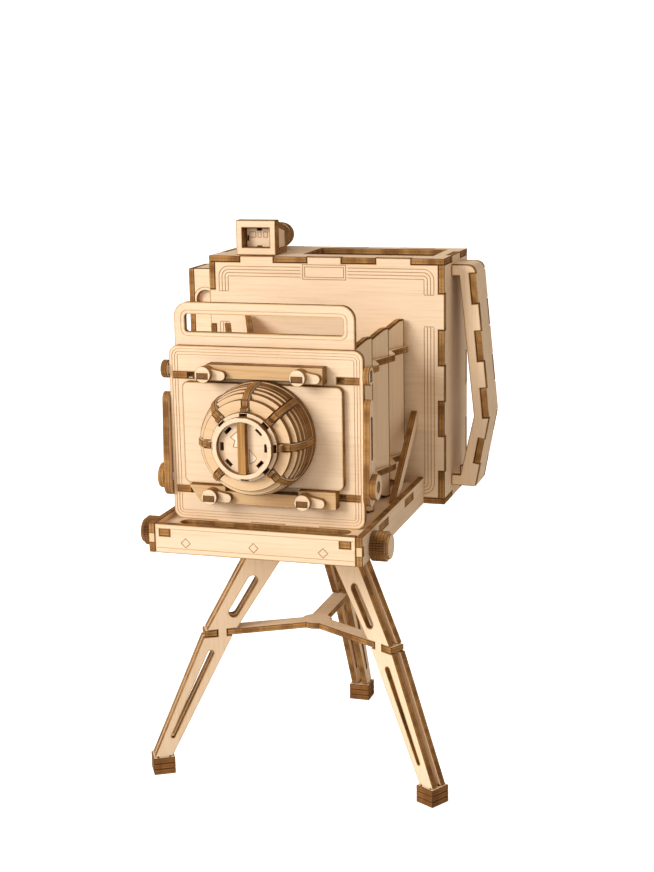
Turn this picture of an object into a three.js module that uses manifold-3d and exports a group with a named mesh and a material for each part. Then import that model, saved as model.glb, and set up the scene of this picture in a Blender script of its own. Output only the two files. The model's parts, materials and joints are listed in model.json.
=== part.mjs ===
// A press camera cut from thin plywood, standing on a tripod and used as a pencil holder.
// Millimetres, Z up. The lens looks along -Y and the hand strap is on the +X side.
// While the pieces are placed, the front face of the camera body lies at Y = 0 and the floor at Z = 0.

import * as THREE from 'three';
import { mergeVertices } from 'three/addons/utils/BufferGeometryUtils.js';
import Module from 'manifold-3d';

const wasm = await Module();
wasm.setup();

// Sheet and clearances
const ply = 2;                    // thickness of the sheet that the pieces are cut from
const fit = 0.1;                  // gap between sheets that meet, and round a tenon
const clearance = 0.3;            // gap beside a piece that turns or stands at an angle
const running = 0.08;             // gap round a turning axle, spindle or peg
const roundSteps = 8;             // facets in a quarter circle

// Camera body
const bodyWidth = 84;
const bodyDepth = 35.6;
const bodyHeight = 84.5;
const fingerLength = 12.2;        // length of one finger of the corner joints
const fingerCount = 3;            // fingers along a panel's edge
const wellWidth = 46;             // mouth of the pencil well in the top panel
const wellDepth = 21.5;
const wellSetback = 8.5;          // body front to the mouth
const wellMargin = 6;             // body's right side to the mouth

// Tripod
const standHeight = 89.4;         // floor to the underside of the body and the bed
const tripodReach = 15.9;         // body front to the tripod's axis
const legSpread = 55.2;           // tripod's axis to the middle of a foot
const legTopInner = 3.2;          // tripod's axis to a leg's inner edge at its top
const legTopOuter = 17.6;
const legWaistInner = 29.4;       // the same at the spreader
const legWaistOuter = 39.4;
const legFootWidth = 6;           // leg's width where it enters its foot
const legGap = 2;                 // space between the two plates of a leg
const spacerHeight = 10;          // block between the plates at a leg's top
const legTenonWidth = 7;
const upperSlotWidth = 3.6;
const upperSlotLength = 12.6;     // between the centres of its round ends
const upperSlotInset = 0.6;       // from the leg's middle line towards the tripod's axis
const lowerSlotTopWidth = 2.2;
const lowerSlotFootWidth = 1.4;
const slotMargin = 7;             // leg's waist and foot to the ends of its slots
const spreaderHeight = 48;        // floor to the underside of the spreader
const spreaderHub = 5.4;
const spreaderTip = 4.3;          // spreader's length beyond a leg's waist
const outerNotch = 4.4;           // depth of a leg's notches at the spreader
const innerNotch = 2.7;
const headRadius = 19;
const footLength = 7.4;           // along the leg's direction
const footWidth = 7.8;
const footPlies = 3;
const footTenonWidth = 3.6;

// Bed under the front standard
const bedMargin = 3.15;           // the bed is this much wider than the standard on each side
const bedNose = 14;               // standard's front to the bed's front
const bedHeight = 9.4;
const bedTopDrop = 1.8;           // rails' top edges down to the bed's top
const bedTenonLength = 11;
const frontTenonSetback = 24.5;   // bed's front to the middle of its front side tenons
const rearTenonReach = 20.5;      // body front to the middle of its rear side tenons
const noseTenonWidth = 3.3;
const noseTenonInset = 3.4;
const bodyTenonSpread = 15;       // middle plane to the tenons that enter the body
const grooveMargin = 6.65;        // ends of the groove in the bed's top to the bed's sides
const grooveWidth = 5;
const grooveGap = 1.2;            // standard's front to the groove

// Focus drive
const axleRadius = 1.3;
const axleSetback = 11;           // bed's front to the axle
const knobRadius = 4.7;
const knobLength = 4.8;
const knobTeeth = 20;
const toothDepth = 0.45;
const knobCapRadius = 3.9;
const knobCapLength = 1;

// Struts between the bed and the body
const strutWidth = 4;
const strutReach = 27.7;          // body front to the middle of a strut's foot
const strutRise = 22.5;           // bed's top to the middle of a strut's head

// Front standard
const standardReach = 63;         // body front to the standard's front face
const standardWidth = 63;
const standardHeight = 55.7;      // above the bed's top
const standardCorner = 3;
const standardTenonLength = 11.5;
const standardTenonSpread = 11.2;
const pegHeight = 3;              // pegs on the standard's sides
const leverPegRise = 13.6;        // bed's top to the peg that carries a lever
const knobPegDrop = 7.7;          // standard's top to the peg that carries a knob
const sideKnobRadius = 2.9;
const leverHeadroom = 9.4;        // knob's peg to the centre of the lever's upper end
const leverTail = 2.5;            // its lower end's centre below the peg
const leverFootRadius = 3.6;
const leverTipRadius = 2.2;
const leverSlotWidth = 1.7;
const leverSlotLength = 12;
const ringKnobRadius = 4;

// Frame finder behind the standard's top edge
const finderMargin = 2.2;         // the finder is this much narrower than the standard on each side
const finderShift = -0.9;         // from the middle plane
const finderRise = 13.3;          // above the standard
const finderLap = 7;              // below the standard's top edge
const finderCorner = 4.5;
const finderRim = 3.5;            // beside the window
const finderWindowHeight = 5.6;
const finderSill = 4;             // standard's top edge to the window
const finderWindowCorner = 1;

// Lens board and its clamps
const lensRise = 28.6;            // bed's top to the lens axis
const lensShift = -0.5;           // middle plane to the lens axis
const boardWidth = 52.2;
const boardInset = 1;             // the lens reaches this far over the board's upper and lower edges
const boardCorner = 2;
const upperBarGap = 0.7;          // board's edge to the bar
const lowerBarGap = 0.1;
const barHeight = 5.4;
const barPlies = 2;
const upperBarLength = 41.3;
const lowerBarLength = 48;
const barEndSlope = 3.7;          // of a bar's left end
const barNotchWidth = 24;
const buttonSpread = 15.2;        // half the distance between two turn buttons
const upperButtonShift = -1.5;    // lens axis to the middle of a pair
const lowerButtonShift = -0.7;
const buttonReach = 6.5;
const buttonDroop = 0.5;          // fall of a paddle towards its end
const buttonPaddleWidth = 3.4;
const buttonEndWidth = 2.8;
const buttonRadius = 2.5;
const spindleRadius = 1;
const spindleDepth = 3;

// Lens of stacked rings and ribs
const domeRadius = 17.2;          // the rings' edges lie on a ball
const ringCount = 6;
const frontTrim = 0.55;           // the stack's front ring is this much smaller than the ball there
const baseMargin = 0.3;           // base ring is this much wider than the ball
const frontRingRadius = 9.65;
const frontRingWidth = 1.35;
const discMargin = 0.95;          // disc is this much wider than the front ring on it
const discSlotRing = 7;           // lens axis to the middle of the disc's inner slots
const edgeSlotRing = 9.75;        // and of the slots at its edge
const discSlotLength = 2.3;
const discSlotWidth = 0.9;
const boreStep = 0.8;             // bore is this much smaller than the front ring
const ribPlaces = 8;              // round the lens; the lowest one has no rib
const ribProud = 0.4;             // ribs stand this far out of the rings
const ribDepth = 2;               // and reach this far into them
const ribTipWidth = 1.3;          // tips of the ribs beside the disc
const lensBarWidth = 2.6;
const lensBarMargin = 0.25;       // ends of the bar to the front ring's bore

// Bellows of side panels held by level combs
const pleatCount = 3;
const pleatGap = 3.16;            // between the front edge of a panel and the rear edge of the next one
const pleatAngle = THREE.MathUtils.degToRad(23);
const pleatInset = 1.6;           // combs' tips to a panel's rear outer corner
const pleatRearGap = 1.8;         // body front to the last panel's rear edge
const pleatRise = 1;              // panels' top above the standard
const pleatFlat = 2.8;            // level part of a panel's top edge
const pleatDrop = 6;              // fall of the sloping part
const combMargin = 1.4;           // standard's side to the tips of a comb's outer edge
const combNotchDepth = 3.5;       // tips to the notches between them
const combWidth = 12.7;           // tips to the comb's inner edge
const combTipLag = 2.8;           // panel's rear edge to the comb's tip behind it
const combNotchLag = 9.6;         // panel's rear edge to the notch behind it
const lowerCombRise = 9.8;        // bed's top to the middle of a comb
const upperCombDrop = 9.3;        // standard's top to the middle of a comb
const combTenonLength = 4.4;
const combSlotLength = 7;         // slot for it in the standard
const combTailInset = 3.6;        // tips to the tail that enters the body
const combTailLength = 6;

// Viewfinder on the body's top
const viewfinderWidth = 14.4;
const viewfinderHeight = 12;
const viewfinderInset = 9.6;      // body's left side to the viewfinder
const viewfinderWindowWidth = 10;
const viewfinderWindowHeight = 6.8;
const viewfinderSill = 2.6;
const viewfinderStep = 0.4;       // the box is this much smaller than its front
const viewfinderFrontPlies = 2;
const viewfinderLength = 9;
const viewfinderRoofDrop = 2.4;   // fall of the box's roof towards the back
const eyepieceRise = 4.7;         // body's top to the eyepiece's axis
const eyepieceRadius = 4.5;
const eyepieceBore = 2.4;
const eyepieceLength = 16.6;

// Housing on the body's left side
const housingReach = 12.4;
const housingHeight = 48;
const housingDepth = 16;
const housingSetback = 11.4;      // body front to the housing
const housingDrop = 6;            // body top to the housing
const housingPortRadius = 3.3;
const housingPortDrop = 11;       // housing's top to the middle of its port

// Hand strap on the body's right side
const strapSetback = 10.2;        // body front to the strap
const strapWidth = 15.8;
const strapTopDrop = 3;           // body top to the strap's top
const strapKneeDrop = 55.2;       // body top to the strap's knee
const strapFootRise = 4.5;        // body bottom to the strap's foot
const strapTopReach = 8.2;        // body side to the strap's top corner
const strapKneeReach = 13.3;
const strapFootReach = 8.6;
const strapFrameWidth = 5.4;
const strapLegHeight = 3.8;
const strapCorner = 3;
const upperStrapFingers = 5;
const lowerStrapFingers = 3;

// Places that follow from the sizes
const bodySide = bodyWidth / 2;
const bodyBottom = standHeight;
const bodyTop = bodyBottom + bodyHeight;
const railTop = standHeight + bedHeight;
const bedTop = railTop - bedTopDrop;
const bedWidth = standardWidth + 2 * bedMargin;
const bedFront = -standardReach - bedNose;
const bedInside = bedWidth / 2 - ply;
const axleY = bedFront + axleSetback;
const axleZ = (standHeight + bedTop) / 2;
const standardFront = -standardReach;
const standardBack = standardFront + ply;
const standardSide = standardWidth / 2;
const standardTop = bedTop + standardHeight;
const leverZ = bedTop + leverPegRise;
const knobZ = standardTop - knobPegDrop;
const lensZ = bedTop + lensRise;
const boardFront = standardFront - fit - ply;
const barFront = standardFront - fit - barPlies * ply;
const ringsBack = boardFront - 2 * fit - ply;
const ringsFront = ringsBack - ringCount * ply;
const discFront = ringsFront - fit - ply;
const lensFront = discFront - fit - ply;
const lensBaseRadius = domeRadius + baseMargin;
const discRadius = frontRingRadius + discMargin;
const boardHeight = 2 * (domeRadius - boardInset);
const combHeights = { lower: bedTop + lowerCombRise, upper: standardTop - upperCombDrop };
const combTip = standardSide - combMargin;
const combTailEnd = combTip - combTailInset;
const pleatPitch = (standardReach - ply - pleatRearGap) / pleatCount;
const pleatLength = (pleatPitch - pleatGap) / Math.cos(pleatAngle);
const sides = { left: -1, right: 1 };

const paleWood = new THREE.MeshStandardMaterial({ color: 0xf2d8b2, roughness: 0.75, metalness: 0 });
const brownWood = new THREE.MeshStandardMaterial({ color: 0xa06c38, roughness: 0.8, metalness: 0 });

// Outlines

function outline(points) {
  return new THREE.Shape(points.map(([x, y]) => new THREE.Vector2(x, y)));
}

function rectangle(x0, x1, y0, y1) {
  return outline([[x0, y0], [x1, y0], [x1, y1], [x0, y1]]);
}

function roundedRectangle(x0, x1, y0, y1, radius) {
  const shape = new THREE.Shape();
  shape.absarc(x1 - radius, y0 + radius, radius, -Math.PI / 2, 0);
  shape.absarc(x1 - radius, y1 - radius, radius, 0, Math.PI / 2);
  shape.absarc(x0 + radius, y1 - radius, radius, Math.PI / 2, Math.PI);
  shape.absarc(x0 + radius, y0 + radius, radius, Math.PI, Math.PI * 1.5);
  return shape;
}

function circle(x, y, radius) {
  return new THREE.Shape().absarc(x, y, radius, 0, Math.PI * 2);
}

function ring(radius, bore) {
  const shape = circle(0, 0, radius);
  shape.holes.push(circle(0, 0, bore));
  return shape;
}

// A bar with round ends, whose radii may differ
function roundEnded([ax, ay], [bx, by], radiusA, radiusB = radiusA) {
  const way = Math.atan2(by - ay, bx - ax);
  const lean = Math.asin((radiusA - radiusB) / Math.hypot(bx - ax, by - ay));
  const turn = Math.PI / 2 - lean;
  const shape = new THREE.Shape();
  shape.absarc(ax, ay, radiusA, way + turn, way - turn + Math.PI * 2);
  shape.absarc(bx, by, radiusB, way - turn, way + turn);
  return shape;
}

// A rectangle whose edges carry tabs, or notches where `out` is negative
function tabbed(x0, x1, y0, y1, edges) {
  const points = [];
  const walk = (from, to, place, tabs = []) => {
    const way = Math.sign(to - from);
    points.push(place(from, 0));
    const inOrder = [...tabs].sort((a, b) => way * (a.at - b.at));
    for (const { at, wide, out } of inOrder) {
      const start = at - (way * wide) / 2;
      const end = at + (way * wide) / 2;
      points.push(place(start, 0), place(start, out), place(end, out), place(end, 0));
    }
  };
  walk(x0, x1, (s, out) => [s, y0 - out], edges.bottom);
  walk(y0, y1, (s, out) => [x1 + out, s], edges.right);
  walk(x1, x0, (s, out) => [s, y1 + out], edges.top);
  walk(y1, y0, (s, out) => [x0 - out, s], edges.left);
  return outline(points);
}

// Fingers evenly spaced about the middle of an edge
function fingers(middle, out, count = fingerCount, grow = 0) {
  return Array.from({ length: count }, (_, i) => ({
    at: middle + (2 * i - (count - 1)) * fingerLength,
    wide: fingerLength + 2 * grow,
    out,
  }));
}

// Sheets, placed with their thickness along one axis

function drawnOut(shape, depth) {
  return new THREE.ExtrudeGeometry(shape, { depth, bevelEnabled: false, curveSegments: roundSteps });
}

// The holes are cut right through the drawn-out outline
function sheet(shape, thickness, matrix) {
  const { holes } = shape;
  shape.holes = [];
  const tools = holes.map((hole) => drawnOut(hole, thickness + 2 * ply).translate(0, 0, -ply));
  const whole = drawnOut(shape, thickness);
  shape.holes = holes;
  return (tools.length ? cut(whole, ...tools) : whole).applyMatrix4(matrix);
}

// Outline in X and Z
function frontSheet(shape, start, thickness = ply) {
  const axes = [new THREE.Vector3(1, 0, 0), new THREE.Vector3(0, 0, 1), new THREE.Vector3(0, -1, 0)];
  return sheet(shape, thickness, new THREE.Matrix4().makeBasis(...axes).setPosition(0, start + thickness, 0));
}

// Outline in Y and Z
function sideSheet(shape, start, thickness = ply) {
  const axes = [new THREE.Vector3(0, 1, 0), new THREE.Vector3(0, 0, 1), new THREE.Vector3(1, 0, 0)];
  return sheet(shape, thickness, new THREE.Matrix4().makeBasis(...axes).setPosition(start, 0, 0));
}

// Outline in X and Y
function levelSheet(shape, start, thickness = ply) {
  return sheet(shape, thickness, new THREE.Matrix4().makeTranslation(0, 0, start));
}

// A block between two corners
function block(x0, x1, y0, y1, z0, z1) {
  return levelSheet(rectangle(x0, x1, y0, y1), z0, z1 - z0);
}

// Where a side sheet starts so that it grows away from the middle plane
function outward(side, distance, thickness = ply) {
  return side > 0 ? distance : -distance - thickness;
}

// Joining and cutting

function solid(geometry) {
  const bare = geometry.clone();
  bare.deleteAttribute('normal');
  bare.deleteAttribute('uv');
  const welded = mergeVertices(bare);
  return new wasm.Manifold(new wasm.Mesh({
    numProp: 3,
    vertProperties: welded.attributes.position.array,
    triVerts: welded.index.array,
  }));
}

function meshed(body) {
  const { vertProperties, triVerts } = body.getMesh();
  const geometry = new THREE.BufferGeometry();
  geometry.setAttribute('position', new THREE.BufferAttribute(vertProperties, 3));
  geometry.setIndex(new THREE.BufferAttribute(triVerts, 1));
  return geometry;
}

function joined(first, ...others) {
  return meshed(others.reduce((body, other) => body.add(solid(other)), solid(first)));
}

function cut(first, ...tools) {
  return meshed(tools.reduce((body, tool) => body.subtract(solid(tool)), solid(first)));
}

function place(group, name, geometry, material = paleWood) {
  const mesh = new THREE.Mesh(geometry, material);
  mesh.name = name;
  group.add(mesh);
  return mesh;
}

const camera = new THREE.Group();

function section() {
  const group = new THREE.Group();
  camera.add(group);
  return group;
}

// Camera body: six finger-jointed panels round the pencil well

function bodyPanelSlots() {
  const slots = [];
  for (const side of Object.values(sides)) {
    for (const height of Object.values(combHeights)) {
      const middle = side * (combTailEnd - combTailLength / 2);
      const half = combTailLength / 2 + fit;
      slots.push(rectangle(middle - half, middle + half, height - ply / 2 - fit, height + ply / 2 + fit));
    }
    const middle = side * bodyTenonSpread;
    const half = bedTenonLength / 2 + fit;
    slots.push(rectangle(middle - half, middle + half, bedTop - ply - fit, bedTop + fit));
  }
  return slots;
}

function buildBody() {
  const body = section();
  const lip = ply + fit;
  const middle = (bodyBottom + bodyTop) / 2;
  const wallShape = () => tabbed(-bodySide + lip, bodySide - lip, bodyBottom + lip, bodyTop - lip, {
    left: fingers(middle, lip),
    right: fingers(middle, lip),
    top: fingers(0, lip),
    bottom: fingers(0, lip),
  });
  const frontShape = wallShape();
  frontShape.holes.push(...bodyPanelSlots());
  place(body, 'body_front', frontSheet(frontShape, 0));
  place(body, 'body_back', frontSheet(wallShape(), bodyDepth - ply));

  for (const [name, side] of Object.entries(sides)) {
    const shape = tabbed(0, bodyDepth, bodyBottom + lip, bodyTop - lip, {
      left: fingers(middle, -lip, fingerCount, fit),
      right: fingers(middle, -lip, fingerCount, fit),
      top: fingers(bodyDepth / 2, lip, 1),
      bottom: fingers(bodyDepth / 2, lip, 1),
    });
    place(body, `body_${name}`, sideSheet(shape, outward(side, bodySide - ply)));
  }

  const deckShape = () => tabbed(-bodySide, bodySide, 0, bodyDepth, {
    top: fingers(0, -lip, fingerCount, fit),
    bottom: fingers(0, -lip, fingerCount, fit),
    left: fingers(bodyDepth / 2, -lip, 1, fit),
    right: fingers(bodyDepth / 2, -lip, 1, fit),
  });
  const topShape = deckShape();
  const mouthRight = bodySide - wellMargin;
  topShape.holes.push(rectangle(mouthRight - wellWidth, mouthRight, wellSetback, wellSetback + wellDepth));
  place(body, 'body_top', levelSheet(topShape, bodyTop - ply));
  place(body, 'body_bottom', levelSheet(deckShape(), bodyBottom));
}

// Viewfinder: a front with a window, a hollow box and a round eyepiece

function buildViewfinder() {
  const finder = section();
  const left = -bodySide + viewfinderInset;
  const middle = left + viewfinderWidth / 2;
  const bottom = bodyTop + fit;
  const top = bottom + viewfinderHeight;
  const front = ply + fit;
  const frontDepth = viewfinderFrontPlies * ply;
  const boxFront = front + frontDepth + fit;
  const boxBack = boxFront + viewfinderLength;
  const sightZ = bodyTop + eyepieceRise;

  const frontShape = rectangle(left, left + viewfinderWidth, bottom, top);
  const halfWindow = viewfinderWindowWidth / 2;
  const sill = bottom + viewfinderSill;
  const lintel = sill + viewfinderWindowHeight;
  frontShape.holes.push(rectangle(middle - halfWindow, middle + halfWindow, sill, lintel));
  place(finder, 'viewfinder_front', frontSheet(frontShape, front, frontDepth));

  const half = viewfinderWidth / 2 - viewfinderStep;
  const roofAt = (y) => top - viewfinderStep - (viewfinderRoofDrop * (y - boxFront)) / viewfinderLength;
  const boxProfile = (wall) => {
    const [start, end] = [boxFront + wall, boxBack - wall];
    const floor = bottom + wall;
    return outline([[start, floor], [end, floor], [end, roofAt(end) - wall], [start, roofAt(start) - wall]]);
  };
  const shell = sideSheet(boxProfile(0), middle - half, 2 * half);
  const hollow = sideSheet(boxProfile(ply), middle - half + ply, 2 * (half - ply));
  const sightHole = frontSheet(circle(middle, sightZ, eyepieceBore), boxBack - 2 * ply, 3 * ply);
  place(finder, 'viewfinder_box', cut(shell, hollow, sightHole));

  const tube = circle(middle, sightZ, eyepieceRadius);
  tube.holes.push(circle(middle, sightZ, eyepieceBore));
  place(finder, 'eyepiece', frontSheet(tube, boxBack + fit, eyepieceLength), brownWood);
}

// Housing on the left side, open towards the body

function buildHousing() {
  const housing = section();
  const outer = -bodySide - housingReach;
  const inner = -bodySide - fit;
  const back = housingSetback + housingDepth;
  const top = bodyTop - housingDrop;
  const bottom = top - housingHeight;
  const shell = block(outer, inner, housingSetback, back, bottom, top);
  const hollow = block(outer + ply, inner + ply, housingSetback + ply, back - ply, bottom + ply, top - ply);
  const port = frontSheet(
    circle((outer + inner) / 2, top - housingPortDrop, housingPortRadius), housingSetback - ply, 3 * ply,
  );
  place(housing, 'side_housing', cut(shell, hollow, port));
}

// Hand strap: two profiles and a bent band, finger-jointed along their outer edges

function towards(from, to, share) {
  return from.map((value, i) => value + (to[i] - value) * share);
}

// A path moved to its left by a distance, with mitred corners
function movedPath(points, distance) {
  const normals = points.slice(1).map(([x, y], i) => {
    const [dx, dy] = [x - points[i][0], y - points[i][1]];
    const length = Math.hypot(dx, dy);
    return [-dy / length, dx / length];
  });
  return points.map(([x, y], i) => {
    const before = normals[Math.max(i - 1, 0)];
    const after = normals[Math.min(i, normals.length - 1)];
    const share = distance / (1 + before[0] * after[0] + before[1] * after[1]);
    return [x + (before[0] + after[0]) * share, y + (before[1] + after[1]) * share];
  });
}

function buildStrap() {
  const strap = section();
  const wall = bodySide + fit;
  const topZ = bodyTop - strapTopDrop;
  const footZ = bodyBottom + strapFootRise;
  const corner = [bodySide + strapTopReach, topZ];
  const knee = [bodySide + strapKneeReach, bodyTop - strapKneeDrop];
  const foot = [bodySide + strapFootReach, footZ];
  const bendStart = [corner[0] - strapCorner, topZ];
  const bendEnd = towards(corner, knee, strapCorner / Math.hypot(knee[0] - corner[0], knee[1] - corner[1]));
  const bend = new THREE.QuadraticBezierCurve(
    new THREE.Vector2(...bendStart), new THREE.Vector2(...corner), new THREE.Vector2(...bendEnd),
  ).getPoints(roundSteps).map((p) => [p.x, p.y]);

  const outer = [foot, knee, ...bend.reverse(), [wall, topZ]];
  const inner = [
    [wall, topZ - strapLegHeight],
    [corner[0] - strapFrameWidth, topZ - strapLegHeight],
    [knee[0] - strapFrameWidth, knee[1]],
    [foot[0] - strapFrameWidth, footZ + strapLegHeight],
    [wall, footZ + strapLegHeight],
    [wall, footZ],
  ];

  const underside = movedPath(outer, ply);
  const innerStart = strapSetback + ply + fit;
  const innerWidth = strapWidth - 2 * (ply + fit);
  const bandShape = outline([...outer, ...[...underside].reverse()]);
  const bandPieces = [frontSheet(bandShape, innerStart, innerWidth)];
  const notches = [];

  // The band's fingers reach over both profiles, and the profiles are notched for them
  const addFingers = (from, to, count, first) => {
    const length = Math.hypot(to[0] - from[0], to[1] - from[1]);
    for (let i = first; i < count; i += 2) {
      const spread = clearance / length;
      const start = towards(from, to, i / count);
      const end = towards(from, to, (i + 1) / count);
      const grownStart = towards(from, to, i / count - spread);
      const grownEnd = towards(from, to, (i + 1) / count + spread);
      const finger = outline([start, end, ...movedPath([start, end], -ply).reverse()]);
      const notch = outline([
        ...movedPath([grownStart, grownEnd], ply),
        ...movedPath([grownStart, grownEnd], -ply - clearance).reverse(),
      ]);
      bandPieces.push(frontSheet(finger, strapSetback, strapWidth));
      notches.push(frontSheet(notch, strapSetback - ply, strapWidth + 2 * ply));
    }
  };
  addFingers(bendEnd, knee, upperStrapFingers, 0);
  addFingers(knee, foot, lowerStrapFingers, 1);

  place(strap, 'strap_band', joined(...bandPieces));
  const profile = outline([...outer, ...inner]);
  const starts = { front: strapSetback, back: strapSetback + strapWidth - ply };
  for (const [name, start] of Object.entries(starts)) {
    place(strap, `strap_${name}`, cut(frontSheet(profile, start), ...notches));
  }
}

// Bed: a shallow tray that carries the front standard

function buildBed() {
  const bed = section();
  const lip = ply + fit;
  const sideTenons = [bedFront + frontTenonSetback, -rearTenonReach];
  const noseTenonX = bedInside - noseTenonInset;

  const topShape = tabbed(-bedInside + fit, bedInside - fit, bedFront + lip, -fit, {
    left: sideTenons.map((at) => ({ at, wide: bedTenonLength, out: lip })),
    right: sideTenons.map((at) => ({ at, wide: bedTenonLength, out: lip })),
    bottom: [-noseTenonX, noseTenonX].map((at) => ({ at, wide: noseTenonWidth, out: lip })),
    top: [-bodyTenonSpread, bodyTenonSpread].map((at) => ({ at, wide: bedTenonLength, out: lip })),
  });
  const grooveY = standardFront - grooveGap - grooveWidth / 2;
  const grooveHalf = (bedWidth - grooveWidth) / 2 - grooveMargin;
  topShape.holes.push(roundEnded([-grooveHalf, grooveY], [grooveHalf, grooveY], grooveWidth / 2));
  for (const side of Object.values(sides)) {
    const middle = side * standardTenonSpread;
    const half = standardTenonLength / 2 + fit;
    topShape.holes.push(rectangle(middle - half, middle + half, standardFront - fit, standardBack + fit));
  }
  place(bed, 'bed_top', levelSheet(topShape, bedTop - ply));

  const bottomShape = rectangle(-bedInside + fit, bedInside - fit, bedFront + lip, -fit);
  place(bed, 'bed_bottom', levelSheet(bottomShape, standHeight));

  const noseShape = rectangle(-bedInside + fit, bedInside - fit, standHeight, railTop);
  for (const side of Object.values(sides)) {
    const half = noseTenonWidth / 2 + fit;
    const middle = side * noseTenonX;
    noseShape.holes.push(rectangle(middle - half, middle + half, bedTop - ply - fit, bedTop + fit));
  }
  place(bed, 'bed_front', frontSheet(noseShape, bedFront));

  for (const [name, side] of Object.entries(sides)) {
    const shape = rectangle(bedFront, -fit, standHeight, railTop);
    for (const at of sideTenons) {
      const half = bedTenonLength / 2 + fit;
      shape.holes.push(rectangle(at - half, at + half, bedTop - ply - fit, bedTop + fit));
    }
    shape.holes.push(circle(axleY, axleZ, axleRadius + running));
    place(bed, `bed_rail_${name}`, sideSheet(shape, outward(side, bedInside)));
  }

  const strutX = combTip + clearance;
  for (const [name, side] of Object.entries(sides)) {
    const rise = Math.atan2(strutRise, strutReach);
    const footHalf = strutWidth / Math.sin(rise) / 2;
    const headHalf = strutWidth / Math.cos(rise) / 2;
    const foot = bedTop + fit;
    const head = bedTop + strutRise;
    const shape = outline([
      [-strutReach - footHalf, foot], [-strutReach + footHalf, foot],
      [-fit, head - headHalf], [-fit, head + headHalf],
    ]);
    place(bed, `bed_strut_${name}`, sideSheet(shape, outward(side, strutX)));
  }
}

// Focus drive: an axle across the bed with a toothed knob on each end

function toothedCircle(radius, teeth, depth) {
  const points = [];
  for (let i = 0; i < teeth; i += 1) {
    const corners = [[0.05, radius - depth], [0.3, radius], [0.7, radius], [0.95, radius - depth]];
    for (const [share, r] of corners) {
      const angle = ((i + share) / teeth) * Math.PI * 2;
      points.push([r * Math.cos(angle), r * Math.sin(angle)]);
    }
  }
  return outline(points);
}

function buildFocusDrive() {
  const drive = section();
  drive.position.set(0, axleY, axleZ);
  const knobStart = bedWidth / 2 + clearance;
  const axleHalf = knobStart + knobLength - fit;
  place(drive, 'focus_axle', sideSheet(circle(0, 0, axleRadius), -axleHalf, 2 * axleHalf), brownWood);
  for (const [name, side] of Object.entries(sides)) {
    const drumShape = toothedCircle(knobRadius, knobTeeth, toothDepth);
    drumShape.holes.push(circle(0, 0, axleRadius + fit));
    const drum = sideSheet(drumShape, outward(side, knobStart, knobLength), knobLength);
    const capStart = knobStart + knobLength - fit;
    const cap = sideSheet(circle(0, 0, knobCapRadius), outward(side, capStart, knobCapLength), knobCapLength);
    place(drive, `focus_knob_${name}`, joined(drum, cap), brownWood);
  }
}

// Front standard: plate with pegs, frame finder, levers and knobs

function buildStandard() {
  const standard = section();
  const bottom = bedTop + fit;
  const pegY = standardFront + ply / 2;
  const leverStart = standardSide + clearance;
  const ringStart = leverStart + ply - fit;
  const ringEnd = ringStart + ply;

  const plateShape = roundedRectangle(-standardSide, standardSide, bottom, standardTop, standardCorner);
  for (const side of Object.values(sides)) {
    for (const height of Object.values(combHeights)) {
      const outerEnd = side * (combTip + fit);
      const innerEnd = side * (combTip - combSlotLength);
      plateShape.holes.push(rectangle(
        Math.min(outerEnd, innerEnd), Math.max(outerEnd, innerEnd),
        height - ply / 2 - fit, height + ply / 2 + fit,
      ));
    }
  }
  const pegs = [];
  for (const side of Object.values(sides)) {
    for (const [height, end] of [[leverZ, ringEnd], [knobZ, leverStart + ply]]) {
      const start = side > 0 ? standardSide - fit : -end;
      const length = end - standardSide + fit;
      const shape = rectangle(start, start + length, height - pegHeight / 2, height + pegHeight / 2);
      pegs.push(frontSheet(shape, standardFront));
    }
    const middle = side * standardTenonSpread;
    const half = standardTenonLength / 2;
    pegs.push(frontSheet(rectangle(middle - half, middle + half, bedTop - ply, bottom + fit), standardFront));
  }
  place(standard, 'standard_plate', joined(frontSheet(plateShape, standardFront), ...pegs));

  const frameBottom = standardTop - finderLap;
  const frameTop = standardTop + finderRise;
  const half = standardSide - finderMargin;
  const frameShape = roundedRectangle(
    finderShift - half, finderShift + half, frameBottom, frameTop, finderCorner,
  );
  const sill = standardTop + finderSill;
  const halfWindow = half - finderRim;
  frameShape.holes.push(roundedRectangle(
    finderShift - halfWindow, finderShift + halfWindow, sill, sill + finderWindowHeight, finderWindowCorner,
  ));
  place(standard, 'frame_finder', frontSheet(frameShape, standardBack + fit));

  for (const [name, side] of Object.entries(sides)) {
    const knobShape = circle(pegY, knobZ, sideKnobRadius);
    const pegHalf = pegHeight / 2 + fit;
    const plyHalf = ply / 2 + fit;
    knobShape.holes.push(rectangle(pegY - plyHalf, pegY + plyHalf, knobZ - pegHalf, knobZ + pegHalf));
    place(standard, `side_knob_${name}`, sideSheet(knobShape, outward(side, leverStart)), brownWood);

    // The lever and its ring knob turn on a flat peg, inside a round hole
    const holeRadius = Math.hypot(ply / 2, pegHeight / 2) + running;
    const leverFoot = leverZ - leverTail;
    const leverTip = knobZ - leverHeadroom;
    const leverShape = roundEnded([pegY, leverFoot], [pegY, leverTip], leverFootRadius, leverTipRadius);
    leverShape.holes.push(circle(pegY, leverZ, holeRadius));
    const slotTop = leverTip - leverTipRadius - leverSlotWidth;
    leverShape.holes.push(roundEnded(
      [pegY, slotTop - leverSlotLength], [pegY, slotTop], leverSlotWidth / 2,
    ));
    const lever = sideSheet(leverShape, outward(side, leverStart));
    const ringShape = circle(pegY, leverZ, ringKnobRadius);
    ringShape.holes.push(circle(pegY, leverZ, holeRadius));
    const ringKnob = sideSheet(ringShape, outward(side, ringStart));
    place(standard, `tilt_lever_${name}`, joined(lever, ringKnob), brownWood);
  }
}

// Lens board with two clamp bars and four turn buttons

function barOutline(length, inner, outer) {
  const half = length / 2;
  return outline([[-half, inner], [half, inner], [half, outer], [-half + barEndSlope, outer]]);
}

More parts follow.
